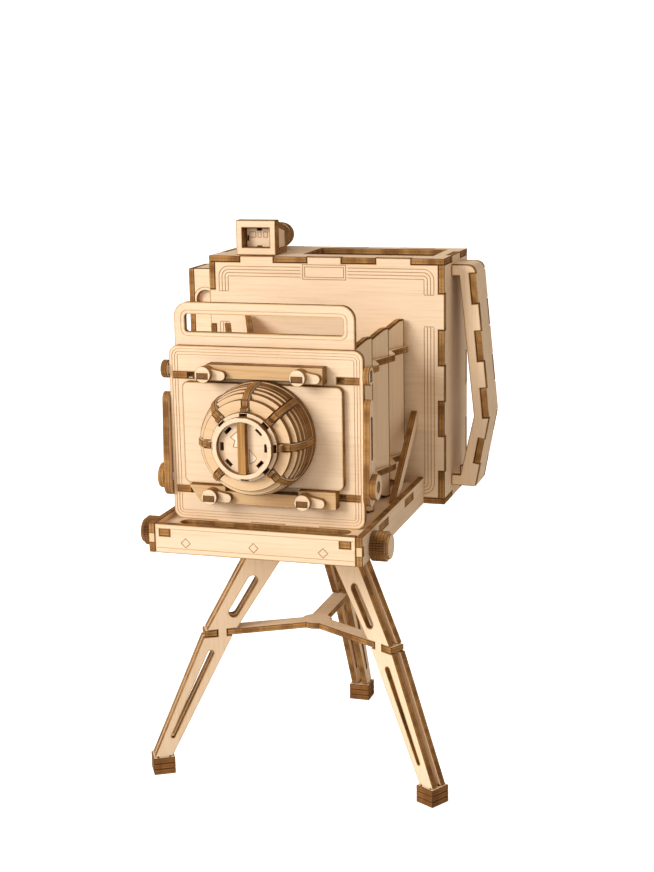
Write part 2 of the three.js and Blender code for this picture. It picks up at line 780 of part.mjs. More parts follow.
function turnButton() {
  const paddleRadius = buttonPaddleWidth / 2;
  const endRadius = buttonEndWidth / 2;
  const paddle = roundEnded([0, 0], [buttonReach - endRadius, -buttonDroop], paddleRadius, endRadius);
  return joined(
    frontSheet(circle(0, 0, buttonRadius), -2 * ply, 2 * ply),
    frontSheet(paddle, -ply),
    frontSheet(circle(0, 0, spindleRadius), -ply, ply + spindleDepth),
  );
}

function buildLensBoard() {
  const board = section();
  board.position.set(lensShift, 0, lensZ);
  const back = standardFront - fit;
  const halfX = boardWidth / 2;
  const halfZ = boardHeight / 2;
  const boardShape = roundedRectangle(-halfX, halfX, -halfZ, halfZ, boardCorner);
  place(board, 'lens_board', frontSheet(boardShape, boardFront));

  const bars = [
    { name: 'upper', up: 1, gap: upperBarGap, length: upperBarLength, shift: upperButtonShift },
    { name: 'lower', up: -1, gap: lowerBarGap, length: lowerBarLength, shift: lowerButtonShift },
  ];
  for (const { name, up, gap, length, shift } of bars) {
    const inner = halfZ + gap;
    const outer = inner + barHeight;
    const bar = frontSheet(barOutline(length, up * inner, up * outer), barFront, back - barFront);
    const notchDepth = up * (lensBaseRadius + clearance);
    const notch = block(
      -barNotchWidth / 2, barNotchWidth / 2, barFront - ply, back + ply,
      Math.min(0, notchDepth), Math.max(0, notchDepth),
    );
    const buttonZ = (up * (inner + outer)) / 2;
    const hands = { left: shift - buttonSpread, right: shift + buttonSpread };
    const holes = Object.values(hands).map((x) => frontSheet(
      circle(x, buttonZ, spindleRadius + running), barFront - ply, ply + spindleDepth + clearance,
    ));
    place(board, `clamp_bar_${name}`, cut(bar, notch, ...holes));

    for (const [hand, x] of Object.entries(hands)) {
      const button = place(board, `turn_button_${name}_${hand}`, turnButton());
      button.position.set(x, barFront - fit, buttonZ);
    }
  }
}

// Lens: stacked rings held by ribs, a disc on them, and a front ring and an upright bar on the disc

// The ball's middle lies half a sheet in front of the base ring
function ringRadius(index) {
  const trim = index === ringCount - 1 ? frontTrim : 0;
  return Math.sqrt(domeRadius ** 2 - ((index - 0.5) * ply) ** 2) - trim;
}

// One rib in its radial plane: radius along X, lens axis along Y
function ribOutline(grow) {
  const last = ringCount - 1;
  const rootY = ringsBack + ply / 2;
  const rootRadius = lensBaseRadius - fit;
  const outside = [[ringRadius(0) + ribProud, ringsBack]];
  const inside = [[ringRadius(0) - ribDepth - grow, rootY]];
  for (let i = 0; i <= last; i += 1) {
    outside.push([ringRadius(i) + ribProud, ringsBack - (i + 1) * ply]);
    inside.push([ringRadius(i) - ribDepth - grow, ringsBack - i * ply]);
  }
  const groove = ringsFront + ply / 2 + grow;
  const tipInside = discRadius + fit - grow;
  const tipOutside = tipInside + ribTipWidth;
  const tip = discFront - grow;
  outside.push([ringRadius(last), ringsFront - ribProud]);
  outside.push([tipOutside, ringsFront - ribProud], [tipOutside, tip]);
  inside.push([ringRadius(last) - ribDepth - grow, groove], [tipInside, groove], [tipInside, tip]);
  return outline([...outside, ...inside.reverse(), [rootRadius, rootY], [rootRadius, ringsBack]]);
}

// Angles of the places round the lens, from the one after the lowest on to the lowest
function ribAngles() {
  const step = (Math.PI * 2) / ribPlaces;
  return Array.from({ length: ribPlaces }, (_, i) => Math.PI / 2 + (i + 1) * step);
}

function ribs(grow) {
  const thickness = ply + 2 * grow;
  const angles = ribAngles().slice(0, -1);
  return angles.map((angle) => levelSheet(ribOutline(grow), -thickness / 2, thickness).rotateY(angle));
}

// Slots through the disc and the front ring, each across the radius
function discSlots(slotRing) {
  const halfWidth = discSlotWidth / 2;
  const halfLength = discSlotLength / 2;
  const slot = rectangle(slotRing - halfWidth, slotRing + halfWidth, -halfLength, halfLength);
  return ribAngles().map((angle) => frontSheet(slot, lensFront - ply, 4 * ply).rotateY(angle));
}

function buildLens() {
  const lens = section();
  lens.position.set(lensShift, 0, lensZ);
  const bore = frontRingRadius - boreStep;
  const baseRing = frontSheet(ring(lensBaseRadius, bore), ringsBack);
  place(lens, 'lens_rib_cage', joined(baseRing, ...ribs(0)), brownWood);

  // The stepped stack is turned from its section, from its front face to the base ring
  const steps = [];
  for (let i = ringCount - 1; i >= 0; i -= 1) {
    const back = i > 0 ? ringsBack - i * ply : ringsBack - fit;
    steps.push([ringRadius(i), ringsBack - (i + 1) * ply], [ringRadius(i), back]);
  }
  const stackPoints = [...steps, [bore, ringsBack - fit], [bore, ringsFront], steps[0]];
  const stack = new THREE.LatheGeometry(stackPoints.map(([r, y]) => new THREE.Vector2(r, y)), 4 * roundSteps);
  place(lens, 'lens_ring_stack', cut(stack, ...ribs(clearance)));

  const disc = frontSheet(circle(0, 0, discRadius), discFront);
  const edgeSlots = discSlots(edgeSlotRing);
  place(lens, 'lens_disc', cut(disc, ...edgeSlots, ...discSlots(discSlotRing)));
  const frontBore = frontRingRadius - frontRingWidth;
  const frontRing = frontSheet(ring(frontRingRadius, frontBore), lensFront);
  place(lens, 'lens_front_ring', cut(frontRing, ...edgeSlots));
  const barHalf = frontBore - lensBarMargin;
  const barShape = rectangle(-lensBarWidth / 2, lensBarWidth / 2, -barHalf, barHalf);
  place(lens, 'lens_bar', frontSheet(barShape, lensFront), brownWood);
}

// Bellows: upright panels set like pleats, held by two combs on each side

function pleatRear(index) {
  return -pleatRearGap - (pleatCount - 1 - index) * pleatPitch;
}

function pleatOutline() {
  const bottom = bedTop + fit;
  const top = standardTop + pleatRise;
  const slopeStart = pleatLength - pleatFlat;
  return outline([
    [0, bottom + pleatDrop], [slopeStart, bottom], [pleatLength, bottom],
    [pleatLength, top], [slopeStart, top], [0, top - pleatDrop],
  ]);
}

// Turns and moves a sheet drawn along X into the place of one pleat
function setPleat(object, side, index) {
  object.rotation.z = Math.PI / 2 - side * pleatAngle;
  const frontX = combTip - pleatInset - pleatLength * Math.sin(pleatAngle);
  object.position.set(side * frontX, pleatRear(index) - pleatLength * Math.cos(pleatAngle), 0);
  object.updateMatrix();
}

function combOutline(side) {
  const inner = combTip - combWidth;
  const notch = combTip - combNotchDepth;
  const points = [
    [inner, standardBack + fit],
    [combTip - combTenonLength, standardBack + fit],
    [combTip - combTenonLength, standardFront],
    [combTip, standardFront],
    [combTip, standardBack + clearance + ply],
  ];
  for (let i = 0; i < pleatCount; i += 1) {
    points.push([notch, pleatRear(i) - pleatPitch + combNotchLag]);
    points.push([combTip, Math.min(pleatRear(i) + combTipLag, -fit)]);
  }
  points.push(
    [combTailEnd, -fit], [combTailEnd, ply],
    [combTailEnd - combTailLength, ply], [combTailEnd - combTailLength, -fit], [inner, -fit],
  );
  return outline(points.map(([x, y]) => [side * x, y]));
}

function buildBellows() {
  const bellows = section();
  for (const [name, side] of Object.entries(sides)) {
    const start = side > 0 ? 0 : -ply;
    const slots = [];
    for (let i = 0; i < pleatCount; i += 1) {
      const panel = place(bellows, `bellows_panel_${name}_${i + 1}`, frontSheet(pleatOutline(), start));
      setPleat(panel, side, i);
      const slotShape = rectangle(-clearance, pleatLength + clearance, bedTop, standardTop);
      slots.push(frontSheet(slotShape, start - clearance, ply + 2 * clearance).applyMatrix4(panel.matrix));
    }
    for (const [level, height] of Object.entries(combHeights)) {
      const comb = levelSheet(combOutline(side), height - ply / 2);
      place(bellows, `bellows_comb_${name}_${level}`, cut(comb, ...slots));
    }
  }
}

// Tripod: three legs of paired plates, a spreader, a head and stacked feet

const legTop = standHeight - fit - ply - clearance;
const legFoot = footPlies * ply + clearance;
const waistZ = spreaderHeight + ply / 2;
const legHalf = legGap / 2 + ply;

// Inner and outer edge of a leg at a height
function legEdge(z) {
  const footEdges = [legSpread - legFootWidth / 2, legSpread + legFootWidth / 2];
  const waistEdges = [legWaistInner, legWaistOuter];
  const topEdges = [legTopInner, legTopOuter];
  if (z > waistZ) {
    return towards(waistEdges, topEdges, (z - waistZ) / (legTop - waistZ));
  }
  return towards(footEdges, waistEdges, (z - legFoot) / (waistZ - legFoot));
}

function legMiddle(z) {
  const [inner, outer] = legEdge(z);
  return [(inner + outer) / 2, z];
}

function legPlateShape() {
  const notchTop = waistZ + ply / 2 + clearance;
  const notchBottom = waistZ - ply / 2 - clearance;
  const [innerTop, outerTop] = legEdge(legTop);
  const [innerUpper, outerUpper] = legEdge(notchTop);
  const [innerLower, outerLower] = legEdge(notchBottom);
  const [innerFoot, outerFoot] = legEdge(legFoot);
  const headMiddle = (innerTop + outerTop) / 2;
  const tenon = [headMiddle - legTenonWidth / 2, headMiddle + legTenonWidth / 2];
  const toe = [legSpread - footTenonWidth / 2, legSpread + footTenonWidth / 2];
  const shape = outline([
    [innerFoot, legFoot], [toe[0], legFoot], [toe[0], ply / 2], [toe[1], ply / 2], [toe[1], legFoot],
    [outerFoot, legFoot], [outerLower, notchBottom],
    [legWaistOuter - outerNotch, notchBottom], [legWaistOuter - outerNotch, notchTop], [outerUpper, notchTop],
    [outerTop, legTop], [tenon[1], legTop], [tenon[1], legTop + ply], [tenon[0], legTop + ply],
    [tenon[0], legTop], [innerTop, legTop],
    [innerUpper, notchTop], [legWaistInner + innerNotch, notchTop],
    [legWaistInner + innerNotch, notchBottom], [innerLower, notchBottom],
  ]);
  const lowEnd = legMiddle(waistZ + slotMargin);
  const leg = legMiddle(legTop);
  const reach = Math.hypot(leg[0] - lowEnd[0], leg[1] - lowEnd[1]);
  const highEnd = towards(lowEnd, leg, upperSlotLength / reach);
  const inset = ([r, z]) => [r - upperSlotInset, z];
  shape.holes.push(roundEnded(inset(lowEnd), inset(highEnd), upperSlotWidth / 2));
  const lowerEnds = [legMiddle(waistZ - slotMargin), legMiddle(legFoot + slotMargin)];
  shape.holes.push(roundEnded(...lowerEnds, lowerSlotTopWidth / 2, lowerSlotFootWidth / 2));
  return shape;
}

function legGeometry() {
  const shape = legPlateShape();
  const spacerBottom = legTop - spacerHeight;
  const [innerTop, outerTop] = legEdge(legTop);
  const [innerLow, outerLow] = legEdge(spacerBottom);
  const spacer = outline([
    [innerLow + ply, spacerBottom], [outerLow - ply, spacerBottom],
    [outerTop - ply, legTop], [innerTop + ply, legTop],
  ]);
  return joined(
    frontSheet(shape, -legHalf),
    frontSheet(shape, legGap / 2),
    frontSheet(spacer, -legGap / 2 - fit, legGap + 2 * fit),
  );
}

// The places of a leg's two plates across its width, grown by the clearance
function plateSpans() {
  const inside = legGap / 2 - clearance;
  const outside = legHalf + clearance;
  return [[inside, outside], [-outside, -inside]];
}

// The arms are flush with the legs' plates and have an open notch for each plate's waist
function spreaderGeometry(angles) {
  const waist = [legWaistInner + innerNotch - clearance, legWaistOuter - outerNotch + clearance];
  const arm = rectangle(0, waist[1] + spreaderTip, -legHalf, legHalf);
  const pieces = [levelSheet(circle(0, 0, spreaderHub), spreaderHeight)];
  const notches = [];
  for (const angle of angles) {
    pieces.push(levelSheet(arm, spreaderHeight).rotateZ(angle));
    for (const [y0, y1] of plateSpans()) {
      const notch = block(waist[0], waist[1], y0, y1, spreaderHeight - ply, spreaderHeight + 2 * ply);
      notches.push(notch.rotateZ(angle));
    }
  }
  return cut(joined(...pieces), ...notches);
}

function headGeometry(angles) {
  const cuts = [];
  const [inner, outer] = legEdge(legTop);
  const middle = (inner + outer) / 2;
  const half = legTenonWidth / 2 + clearance;
  for (const angle of angles) {
    for (const [y0, y1] of plateSpans()) {
      cuts.push(block(middle - half, middle + half, y0, y1, legTop, standHeight + ply).rotateZ(angle));
    }
  }
  return cut(levelSheet(circle(0, 0, headRadius), standHeight - fit - ply), ...cuts);
}

function footGeometry() {
  const shape = rectangle(-footLength / 2, footLength / 2, -footWidth / 2, footWidth / 2);
  const half = footTenonWidth / 2 + clearance;
  for (const [y0, y1] of plateSpans()) {
    shape.holes.push(rectangle(-half, half, y0, y1));
  }
  return levelSheet(shape, 0, footPlies * ply).translate(legSpread, 0, 0);
}

function buildTripod() {
  const tripod = section();
  tripod.position.y = -tripodReach;
  const directions = { rear: Math.PI / 2, left: (Math.PI * 7) / 6, right: (Math.PI * 11) / 6 };
  for (const [name, angle] of Object.entries(directions)) {
    const corner = new THREE.Group();
    corner.rotation.z = angle;
    tripod.add(corner);
    place(corner, `leg_${name}`, legGeometry());
    place(corner, `foot_${name}`, footGeometry(), brownWood);
  }
  place(tripod, 'leg_spreader', spreaderGeometry(Object.values(directions)));
  place(tripod, 'tripod_head', headGeometry(Object.values(directions)));
}

buildBody();
buildViewfinder();
buildHousing();
buildStrap();
buildBed();
buildFocusDrive();
buildStandard();
buildLensBoard();
buildLens();
buildBellows();
buildTripod();

// The origin is the middle of the camera's outline on the floor
const extent = new THREE.Box3().setFromObject(camera, true);
const middlePoint = extent.getCenter(new THREE.Vector3());
camera.position.set(-middlePoint.x, -middlePoint.y, -extent.min.z);
camera.updateMatrixWorld(true);

export default camera;
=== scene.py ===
"""A plywood press camera on a tripod, dressed for pictures.

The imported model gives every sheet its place. Each sheet gets broken edges, burnt cuts, grain and
engraved lines, and the turned and stacked pieces are built again with finer rounds.
"""

import json
import math

import bmesh
import bpy
from bpy.props import FloatProperty, FloatVectorProperty, PointerProperty
from mathutils import Matrix, Vector


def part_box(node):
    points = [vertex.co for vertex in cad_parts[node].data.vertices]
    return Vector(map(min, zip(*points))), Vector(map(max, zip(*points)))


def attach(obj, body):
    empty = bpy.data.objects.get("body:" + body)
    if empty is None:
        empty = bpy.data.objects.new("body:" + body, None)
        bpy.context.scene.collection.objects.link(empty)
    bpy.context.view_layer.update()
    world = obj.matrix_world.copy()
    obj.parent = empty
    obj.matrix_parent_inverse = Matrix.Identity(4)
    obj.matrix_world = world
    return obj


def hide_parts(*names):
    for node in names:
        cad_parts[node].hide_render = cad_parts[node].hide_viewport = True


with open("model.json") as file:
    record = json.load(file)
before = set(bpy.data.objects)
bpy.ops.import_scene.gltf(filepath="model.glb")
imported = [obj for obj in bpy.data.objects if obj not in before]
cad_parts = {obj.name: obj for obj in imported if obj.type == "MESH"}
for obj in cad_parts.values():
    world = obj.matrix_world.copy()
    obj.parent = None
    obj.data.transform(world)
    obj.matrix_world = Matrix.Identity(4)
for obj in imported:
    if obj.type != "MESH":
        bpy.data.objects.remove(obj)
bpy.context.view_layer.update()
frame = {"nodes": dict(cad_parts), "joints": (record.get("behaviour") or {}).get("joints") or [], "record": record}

bl_info = {
    "name": "Plywood Press Camera",
    "version": (1, 0, 0),
    "blender": (4, 5, 0),
    "location": "3D View > Sidebar > Camera",
    "description": "Dresses a plywood press camera on a tripod",
    "category": "Object",
}

MM = 0.001
FRONT = Vector((0, -1, 0))
BACK = Vector((0, 1, 0))
LEFT = Vector((-1, 0, 0))
RIGHT = Vector((1, 0, 0))
UP = Vector((0, 0, 1))
SIDES = {"left": -1, "right": 1}

# Points closer than this are one point
WELD = 0.004 * MM
# Neighbouring faces that differ by less than this are one flat face
FLAT = math.radians(0.6)
# Edges that turn more than this are broken, and shaded sharp
SHARP = math.radians(28)
# A sheet's faces have more than this share of their normal along its thickness
LEVEL = 0.9

# Corners of a full circle, and of each radian of a notched ring
ROUND_STEPS = 96
STEPS_PER_RADIAN = 18

# Shares of the arris on small pieces, on the end of a tenon and on the feet
SMALL_ARRIS = 0.7
TENON_ARRIS = 0.5
FOOT_ARRIS = 1.4

# Places of a sheet's materials
# The burnt place also colours the margins of the bellows panels, which are partly painted shadow
FACE, EDGE, BURNT_AND_SHADOW, TOASTED = range(4)


# Settings


def length_setting(name, description, default):
    return FloatProperty(
        name=name, description=description, default=default, min=0, unit="LENGTH", precision=5)


def colour_setting(name, description, default):
    return FloatVectorProperty(
        name=name, description=description, default=default, subtype="COLOR", size=3, min=0, max=1)


def power_setting(name, description, default):
    return FloatProperty(
        name=name, description=description, default=default, min=0, subtype="POWER", unit="POWER")


class PlywoodSettings(bpy.types.PropertyGroup):
    """Sheet, cutter and colours of the camera"""

    sheet: length_setting("Sheet", "Thickness of the plywood", 2 * MM)
    arris: length_setting("Arris", "Width of the burnt corner of a cut", 0.16 * MM)
    halo: length_setting("Halo", "Width of the toasted margin beside a cut", 0.3 * MM)
    line_width: length_setting("Line Width", "Width of an engraved line", 0.24 * MM)
    line_depth: length_setting("Line Depth", "Depth of an engraved line", 0.2 * MM)
    pale: colour_setting("Pale Face", "Face of the plywood", (0.89, 0.69, 0.49))
    # Painted highlight: the glints engraved on the lens are filled with this brighter colour, which stands for
    # light reflected by the glass
    glint: colour_setting("Glint", "Bare wood of the glints on the lens", (0.98, 0.86, 0.70))
    streak: colour_setting("Grain Streak", "Darker streaks of the grain", (0.75, 0.53, 0.32))
    # Darker face: painted shade on the faces of the lens rings, and the darker tone of the bed's fingers
    honey_and_shade: colour_setting("Honey Face", "Face of the lens rings and the bed's fingers", (0.82, 0.58, 0.35))
    toasted: colour_setting("Toasted Face", "Face darkened by the laser", (0.70, 0.47, 0.25))
    cut_light: colour_setting("Cut Edge", "Lighter parts of a cut edge", (0.52, 0.27, 0.08))
    cut_dark: colour_setting("Scorched Edge", "Darker parts of a cut edge", (0.14, 0.052, 0.012))
    cut_deep: colour_setting(
        "Deep Edge", "Lighter parts of the feet's and rings' edges", (0.34, 0.155, 0.038))
    burn: colour_setting("Burn", "Charred corners and slots", (0.07, 0.028, 0.009))
    line: colour_setting("Engraved Line", "Bottom of an engraved line", (0.50, 0.29, 0.14))


class StageSettings(bpy.types.PropertyGroup):
    """Floor and lights round the camera"""

    floor: colour_setting("Floor", "Colour of the floor", (0.75, 0.75, 0.75))
    glow: FloatProperty(
        name="Glow", description="Brightness added to the floor as the camera sees it", default=0.9, min=0)
    sky: FloatProperty(
        name="Sky", description="Strength of the light from all round", default=0.53, min=0)
    sky_tint: colour_setting("Sky Tint", "Colour of the light from all round", (1.0, 0.86, 0.7))
    key_power: power_setting("Key Light", "Power of the large light at the upper left", 67.0)
    fill_power: power_setting("Fill Light", "Power of the light in front", 7.5)


# Nodes of the materials


def add_node(tree, kind, place, **values):
    node = tree.nodes.new(kind)
    node.location = place
    for name, value in values.items():
        setattr(node, name, value)
    return node


def mapped(tree, place, scale):
    """Object coordinates of a piece, stretched."""
    coordinates = add_node(tree, "ShaderNodeTexCoord", place)
    mapping = add_node(tree, "ShaderNodeMapping", (place[0] + 200, place[1]))
    mapping.inputs["Scale"].default_value = scale
    tree.links.new(coordinates.outputs["Object"], mapping.inputs["Vector"])
    return mapping.outputs["Vector"]


def noise(tree, place, scale, detail, roughness):
    vector = mapped(tree, place, scale)
    texture = add_node(tree, "ShaderNodeTexNoise", (place[0] + 400, place[1]))
    texture.inputs["Scale"].default_value = 1
    texture.inputs["Detail"].default_value = detail
    texture.inputs["Roughness"].default_value = roughness
    tree.links.new(vector, texture.inputs["Vector"])
    return texture.outputs["Fac"]


def spread(tree, place, value, low, high, to_low=0.0, to_high=1.0):
    """A value taken from one range to another, smoothly."""
    node = add_node(tree, "ShaderNodeMapRange", place, interpolation_type="SMOOTHSTEP")
    tree.links.new(value, node.inputs["Value"])
    node.inputs["From Min"].default_value = low
    node.inputs["From Max"].default_value = high
    node.inputs["To Min"].default_value = to_low
    node.inputs["To Max"].default_value = to_high
    return node.outputs["Result"]


def combine(tree, place, operation, first, second):
    node = add_node(tree, "ShaderNodeMath", place, operation=operation)
    for socket, value in zip(node.inputs, (first, second)):
        if isinstance(value, (int, float)):
            socket.default_value = value
        else:
            tree.links.new(value, socket)
    return node.outputs["Value"]


def tint(tree, place, factor, first, second):
    """A colour between two, each a colour or an output."""
    node = add_node(tree, "ShaderNodeMix", place, data_type="RGBA")
    tree.links.new(factor, node.inputs["Factor"])
    colours = [socket for socket in node.inputs if socket.type == "RGBA"]
    for socket, value in zip(colours, (first, second)):
        if isinstance(value, bpy.types.NodeSocket):
            tree.links.new(value, socket)
        else:
            socket.default_value = (*value, 1)
    return next(socket for socket in node.outputs if socket.type == "RGBA")


def new_group(name, outputs):
    group = bpy.data.node_groups.new(name, "ShaderNodeTree")
    for output in outputs:
        group.interface.new_socket(output, in_out="OUTPUT", socket_type="NodeSocketFloat")
    return group


def close_group(group, values):
    end = add_node(group, "NodeGroupOutput", (1400, 0))
    for name, value in values.items():
        group.links.new(value, end.inputs[name])
    return group


def grain_group():
    """Grain of a sheet's face, with streaks along the piece's X axis."""
    name = "sheet_grain"
    if name in bpy.data.node_groups:
        return bpy.data.node_groups[name]
    group = new_group(name, ("Streak", "Cloud", "Height"))
    streak = noise(group, (0, 300), (50, 1500, 200), 4, 0.6)
    pores = noise(group, (0, 0), (260, 6000, 900), 3, 0.65)
    cloud = noise(group, (0, -300), (22, 70, 40), 3, 0.5)
    height = combine(group, (900, 100), "ADD", streak, pores)
    return close_group(group, {
        "Streak": spread(group, (900, 300), streak, 0.42, 0.72),
        "Cloud": spread(group, (900, -300), cloud, 0.3, 0.7),
        "Height": height,
    })


def edge_group(sheet):
    """Layers and scorch of a cut edge, with the sheet's thickness along the piece's Z axis."""
    name = "sheet_edge"
    if name in bpy.data.node_groups:
        return bpy.data.node_groups[name]
    group = new_group(name, ("Rim", "Core", "Scorch", "Striae"))
    coordinates = add_node(group, "ShaderNodeTexCoord", (0, 500))
    split = add_node(group, "ShaderNodeSeparateXYZ", (200, 500))
    group.links.new(coordinates.outputs["Object"], split.inputs["Vector"])
    plies = combine(group, (400, 500), "DIVIDE", split.outputs["Z"], sheet)
    share = combine(group, (550, 500), "FRACT", plies, 0)
    off_middle = combine(group, (700, 500), "SUBTRACT", share, 0.5)
    from_middle = combine(group, (850, 500), "ABSOLUTE", off_middle, 0)
    scorch = noise(group, (0, 100), (130, 130, 40), 3, 0.6)
    striae = noise(group, (0, -200), (2600, 2600, 60), 2, 0.6)
    return close_group(group, {
        "Rim": spread(group, (1000, 600), from_middle, 0.36, 0.5),
        "Core": spread(group, (1000, 400), from_middle, 0.24, 0.12),
        "Scorch": spread(group, (1000, 100), scorch, 0.36, 0.66),
        "Striae": spread(group, (1000, -200), striae, 0.3, 0.75),
    })


# Materials


def new_material(name, roughness):
    material = bpy.data.materials.new(name)
    material.use_nodes = True
    shader = material.node_tree.nodes["Principled BSDF"]
    shader.inputs["Roughness"].default_value = roughness
    shader.inputs["Specular IOR Level"].default_value = 0.25
    return material, material.node_tree, shader


def add_bump(tree, shader, height, strength, distance):
    bump = add_node(tree, "ShaderNodeBump", (-200, -300))
    bump.inputs["Strength"].default_value = strength
    bump.inputs["Distance"].default_value = distance
    tree.links.new(height, bump.inputs["Height"])
    tree.links.new(bump.outputs["Normal"], shader.inputs["Normal"])


def grained(name, base, streak, roughness):
    """Face of a sheet."""
    if name in bpy.data.materials:
        return bpy.data.materials[name]
    material, tree, shader = new_material(name, roughness)
    grain = add_node(tree, "ShaderNodeGroup", (-900, 0), node_tree=grain_group())
    streak_share = combine(tree, (-700, 200), "MULTIPLY", grain.outputs["Streak"], 0.5)
    cloud_share = combine(tree, (-700, -200), "MULTIPLY", grain.outputs["Cloud"], 0.22)
    clouded = tint(tree, (-500, -100), cloud_share, base, streak)
    colour = tint(tree, (-300, 100), streak_share, clouded, streak)
    tree.links.new(colour, shader.inputs["Base Color"])
    rough = spread(tree, (-500, -400), grain.outputs["Streak"], 0, 1, roughness - 0.06, roughness + 0.08)
    tree.links.new(rough, shader.inputs["Roughness"])
    add_bump(tree, shader, grain.outputs["Height"], 0.25, 0.04 * MM)
    return material


def pale_face(plywood):
    return grained("pale_face", plywood.pale, plywood.streak, 0.6)


# Painted highlight inside the glints on the lens
def glint_face(plywood):
    return grained("glint_face", plywood.glint, plywood.pale, 0.55)


# Painted shade on the lens rings, and the tone of the bed's fingers
def honey_face(plywood):
    return grained("honey_face", plywood.honey_and_shade, plywood.toasted, 0.62)


def toasted_face(plywood):
    return grained("toasted_face", plywood.toasted, plywood.cut_light, 0.66)


def brown_face(plywood):
    return grained("brown_face", plywood.cut_light, plywood.cut_dark, 0.7)


def layered_edge(plywood, name, light, dark):
    """Edge left by the laser: layers of veneer, scorched in patches and along both corners."""
    if name in bpy.data.materials:
        return bpy.data.materials[name]
    material, tree, shader = new_material(name, 0.72)
    edge = add_node(tree, "ShaderNodeGroup", (-1100, 0), node_tree=edge_group(plywood.sheet))
    coats = (("Scorch", 0.75, dark), ("Core", 0.4, dark), ("Striae", 0.35, dark), ("Rim", 0.8, plywood.burn))
    colour = light
    for index, (mask, strength, shade) in enumerate(coats):
        x = 170 * index - 850
        share = combine(tree, (x, -100), "MULTIPLY", edge.outputs[mask], strength)
        colour = tint(tree, (x, 100), share, colour, shade)
    tree.links.new(colour, shader.inputs["Base Color"])
    rough = spread(tree, (-450, -400), edge.outputs["Scorch"], 0, 1, 0.66, 0.82)
    tree.links.new(rough, shader.inputs["Roughness"])
    add_bump(tree, shader, edge.outputs["Striae"], 0.3, 0.05 * MM)
    return material


def cut_edge(plywood):
    return layered_edge(plywood, "cut_edge", plywood.cut_light, plywood.cut_dark)


def deep_edge(plywood):
    return layered_edge(plywood, "deep_edge", plywood.cut_deep, plywood.cut_dark)


def burnt(name, light, dark, roughness):
    """Charred corner, slot or engraved line."""
    if name in bpy.data.materials:
        return bpy.data.materials[name]
    material, tree, shader = new_material(name, roughness)
    patches = noise(tree, (-900, 0), (300, 300, 300), 3, 0.6)
    colour = tint(tree, (-250, 100), spread(tree, (-450, 0), patches, 0.35, 0.65), light, dark)
    tree.links.new(colour, shader.inputs["Base Color"])
    rough = spread(tree, (-450, -300), patches, 0.3, 0.7, roughness - 0.08, roughness + 0.08)
    tree.links.new(rough, shader.inputs["Roughness"])
    add_bump(tree, shader, patches, 0.2, 0.04 * MM)
    return material


def burnt_arris(plywood):
    return burnt("burnt_arris", plywood.cut_dark, plywood.burn, 0.75)


def engraved_line(plywood):
    return burnt("engraved_line", plywood.line, plywood.cut_light, 0.8)


def faint_line(plywood):
    return burnt("faint_line", plywood.streak, plywood.toasted, 0.75)


def sheet_materials(plywood, face=pale_face, edge=cut_edge):
    return [face(plywood), edge(plywood), burnt_arris(plywood), toasted_face(plywood)]


# Outlines in a sheet's own plane


def arc(middle, radius, start, end, steps=12):
    angles = [start + (end - start) * i / steps for i in range(steps + 1)]
    return [(middle[0] + radius * math.cos(a), middle[1] + radius * math.sin(a)) for a in angles]


def circle(radius, middle=(0, 0), steps=ROUND_STEPS):
    return arc(middle, radius, 0, 2 * math.pi, steps)[:-1]


def rectangle(x0, x1, y0, y1):
    return [(x0, y0), (x1, y0), (x1, y1), (x0, y1)]


def rounded_rectangle(x0, x1, y0, y1, radius):
    quarter = math.pi / 2
    corners = [(x1, y0, 3), (x1, y1, 0), (x0, y1, 1), (x0, y0, 2)]
    points = []
    for x, y, turn in corners:
        middle = (x - radius if x == x1 else x + radius, y - radius if y == y1 else y + radius)
        points += arc(middle, radius, turn * quarter, (turn + 1) * quarter, 8)
    return points


def moved(points, dx, dy):
    return [(x + dx, y + dy) for x, y in points]


def turned(points, angle):
    c, s = math.cos(angle), math.sin(angle)
    return [(x * c - y * s, x * s + y * c) for x, y in points]


def side_path(points, distance, closed):
    """A path moved to its left, with mitred corners."""
    count = len(points)
    path = []
    for i, point in enumerate(points):
        before = points[i - 1] if closed or i > 0 else None
        after = points[(i + 1) % count] if closed or i < count - 1 else None
        ways = []
        if before is not None:
            ways.append(Vector(point) - Vector(before))
        if after is not None:
            ways.append(Vector(after) - Vector(point))
        normals = [Vector((-way.y, way.x)).normalized() for way in ways]
        total = sum(normals, Vector((0, 0)))
        path.append(Vector(point) + total * (distance * len(normals) / total.length_squared))
    return [(p.x, p.y) for p in path]


def strip(points, width, closed=False):
    """Outer and inner loops of a line that has a width."""
    left = side_path(points, width / 2, closed)
    right = side_path(points, -width / 2, closed)
    if closed:
        return [right, left]
    return [right + left[::-1]]


# Meshes


def plate(loops, thickness, bottom=0.0):
    """A sheet drawn out along Z from an outline and its holes."""
    bm = bmesh.new()
    rings = [[bm.verts.new((x, y, bottom)) for x, y in loop] for loop in loops]
    edges = [bm.edges.new((ring[i - 1], ring[i])) for ring in rings for i in range(len(ring))]
    bmesh.ops.triangle_fill(bm, use_beauty=True, edges=edges)
    lower = list(bm.faces)
    top = {v: bm.verts.new((v.co.x, v.co.y, bottom + thickness)) for ring in rings for v in ring}
    for face in lower:
        bm.faces.new([top[v] for v in face.verts])
    for ring in rings:
        for i, vertex in enumerate(ring):
            bm.faces.new((ring[i - 1], vertex, top[vertex], top[ring[i - 1]]))
    bmesh.ops.recalc_face_normals(bm, faces=bm.faces[:])
    return bm


def joined(parts):
    """Several bodies in one mesh."""
    whole = bmesh.new()
    for part in parts:
        mesh = bpy.data.meshes.new("part")
        part.to_mesh(mesh)
        part.free()
        whole.from_mesh(mesh)
        bpy.data.meshes.remove(mesh)
    return whole


def weld(bm):
    """Joins the triangles of flat faces."""
    bmesh.ops.remove_doubles(bm, verts=bm.verts[:], dist=WELD)
    bmesh.ops.dissolve_limit(bm, angle_limit=FLAT, verts=bm.verts[:], edges=bm.edges[:])


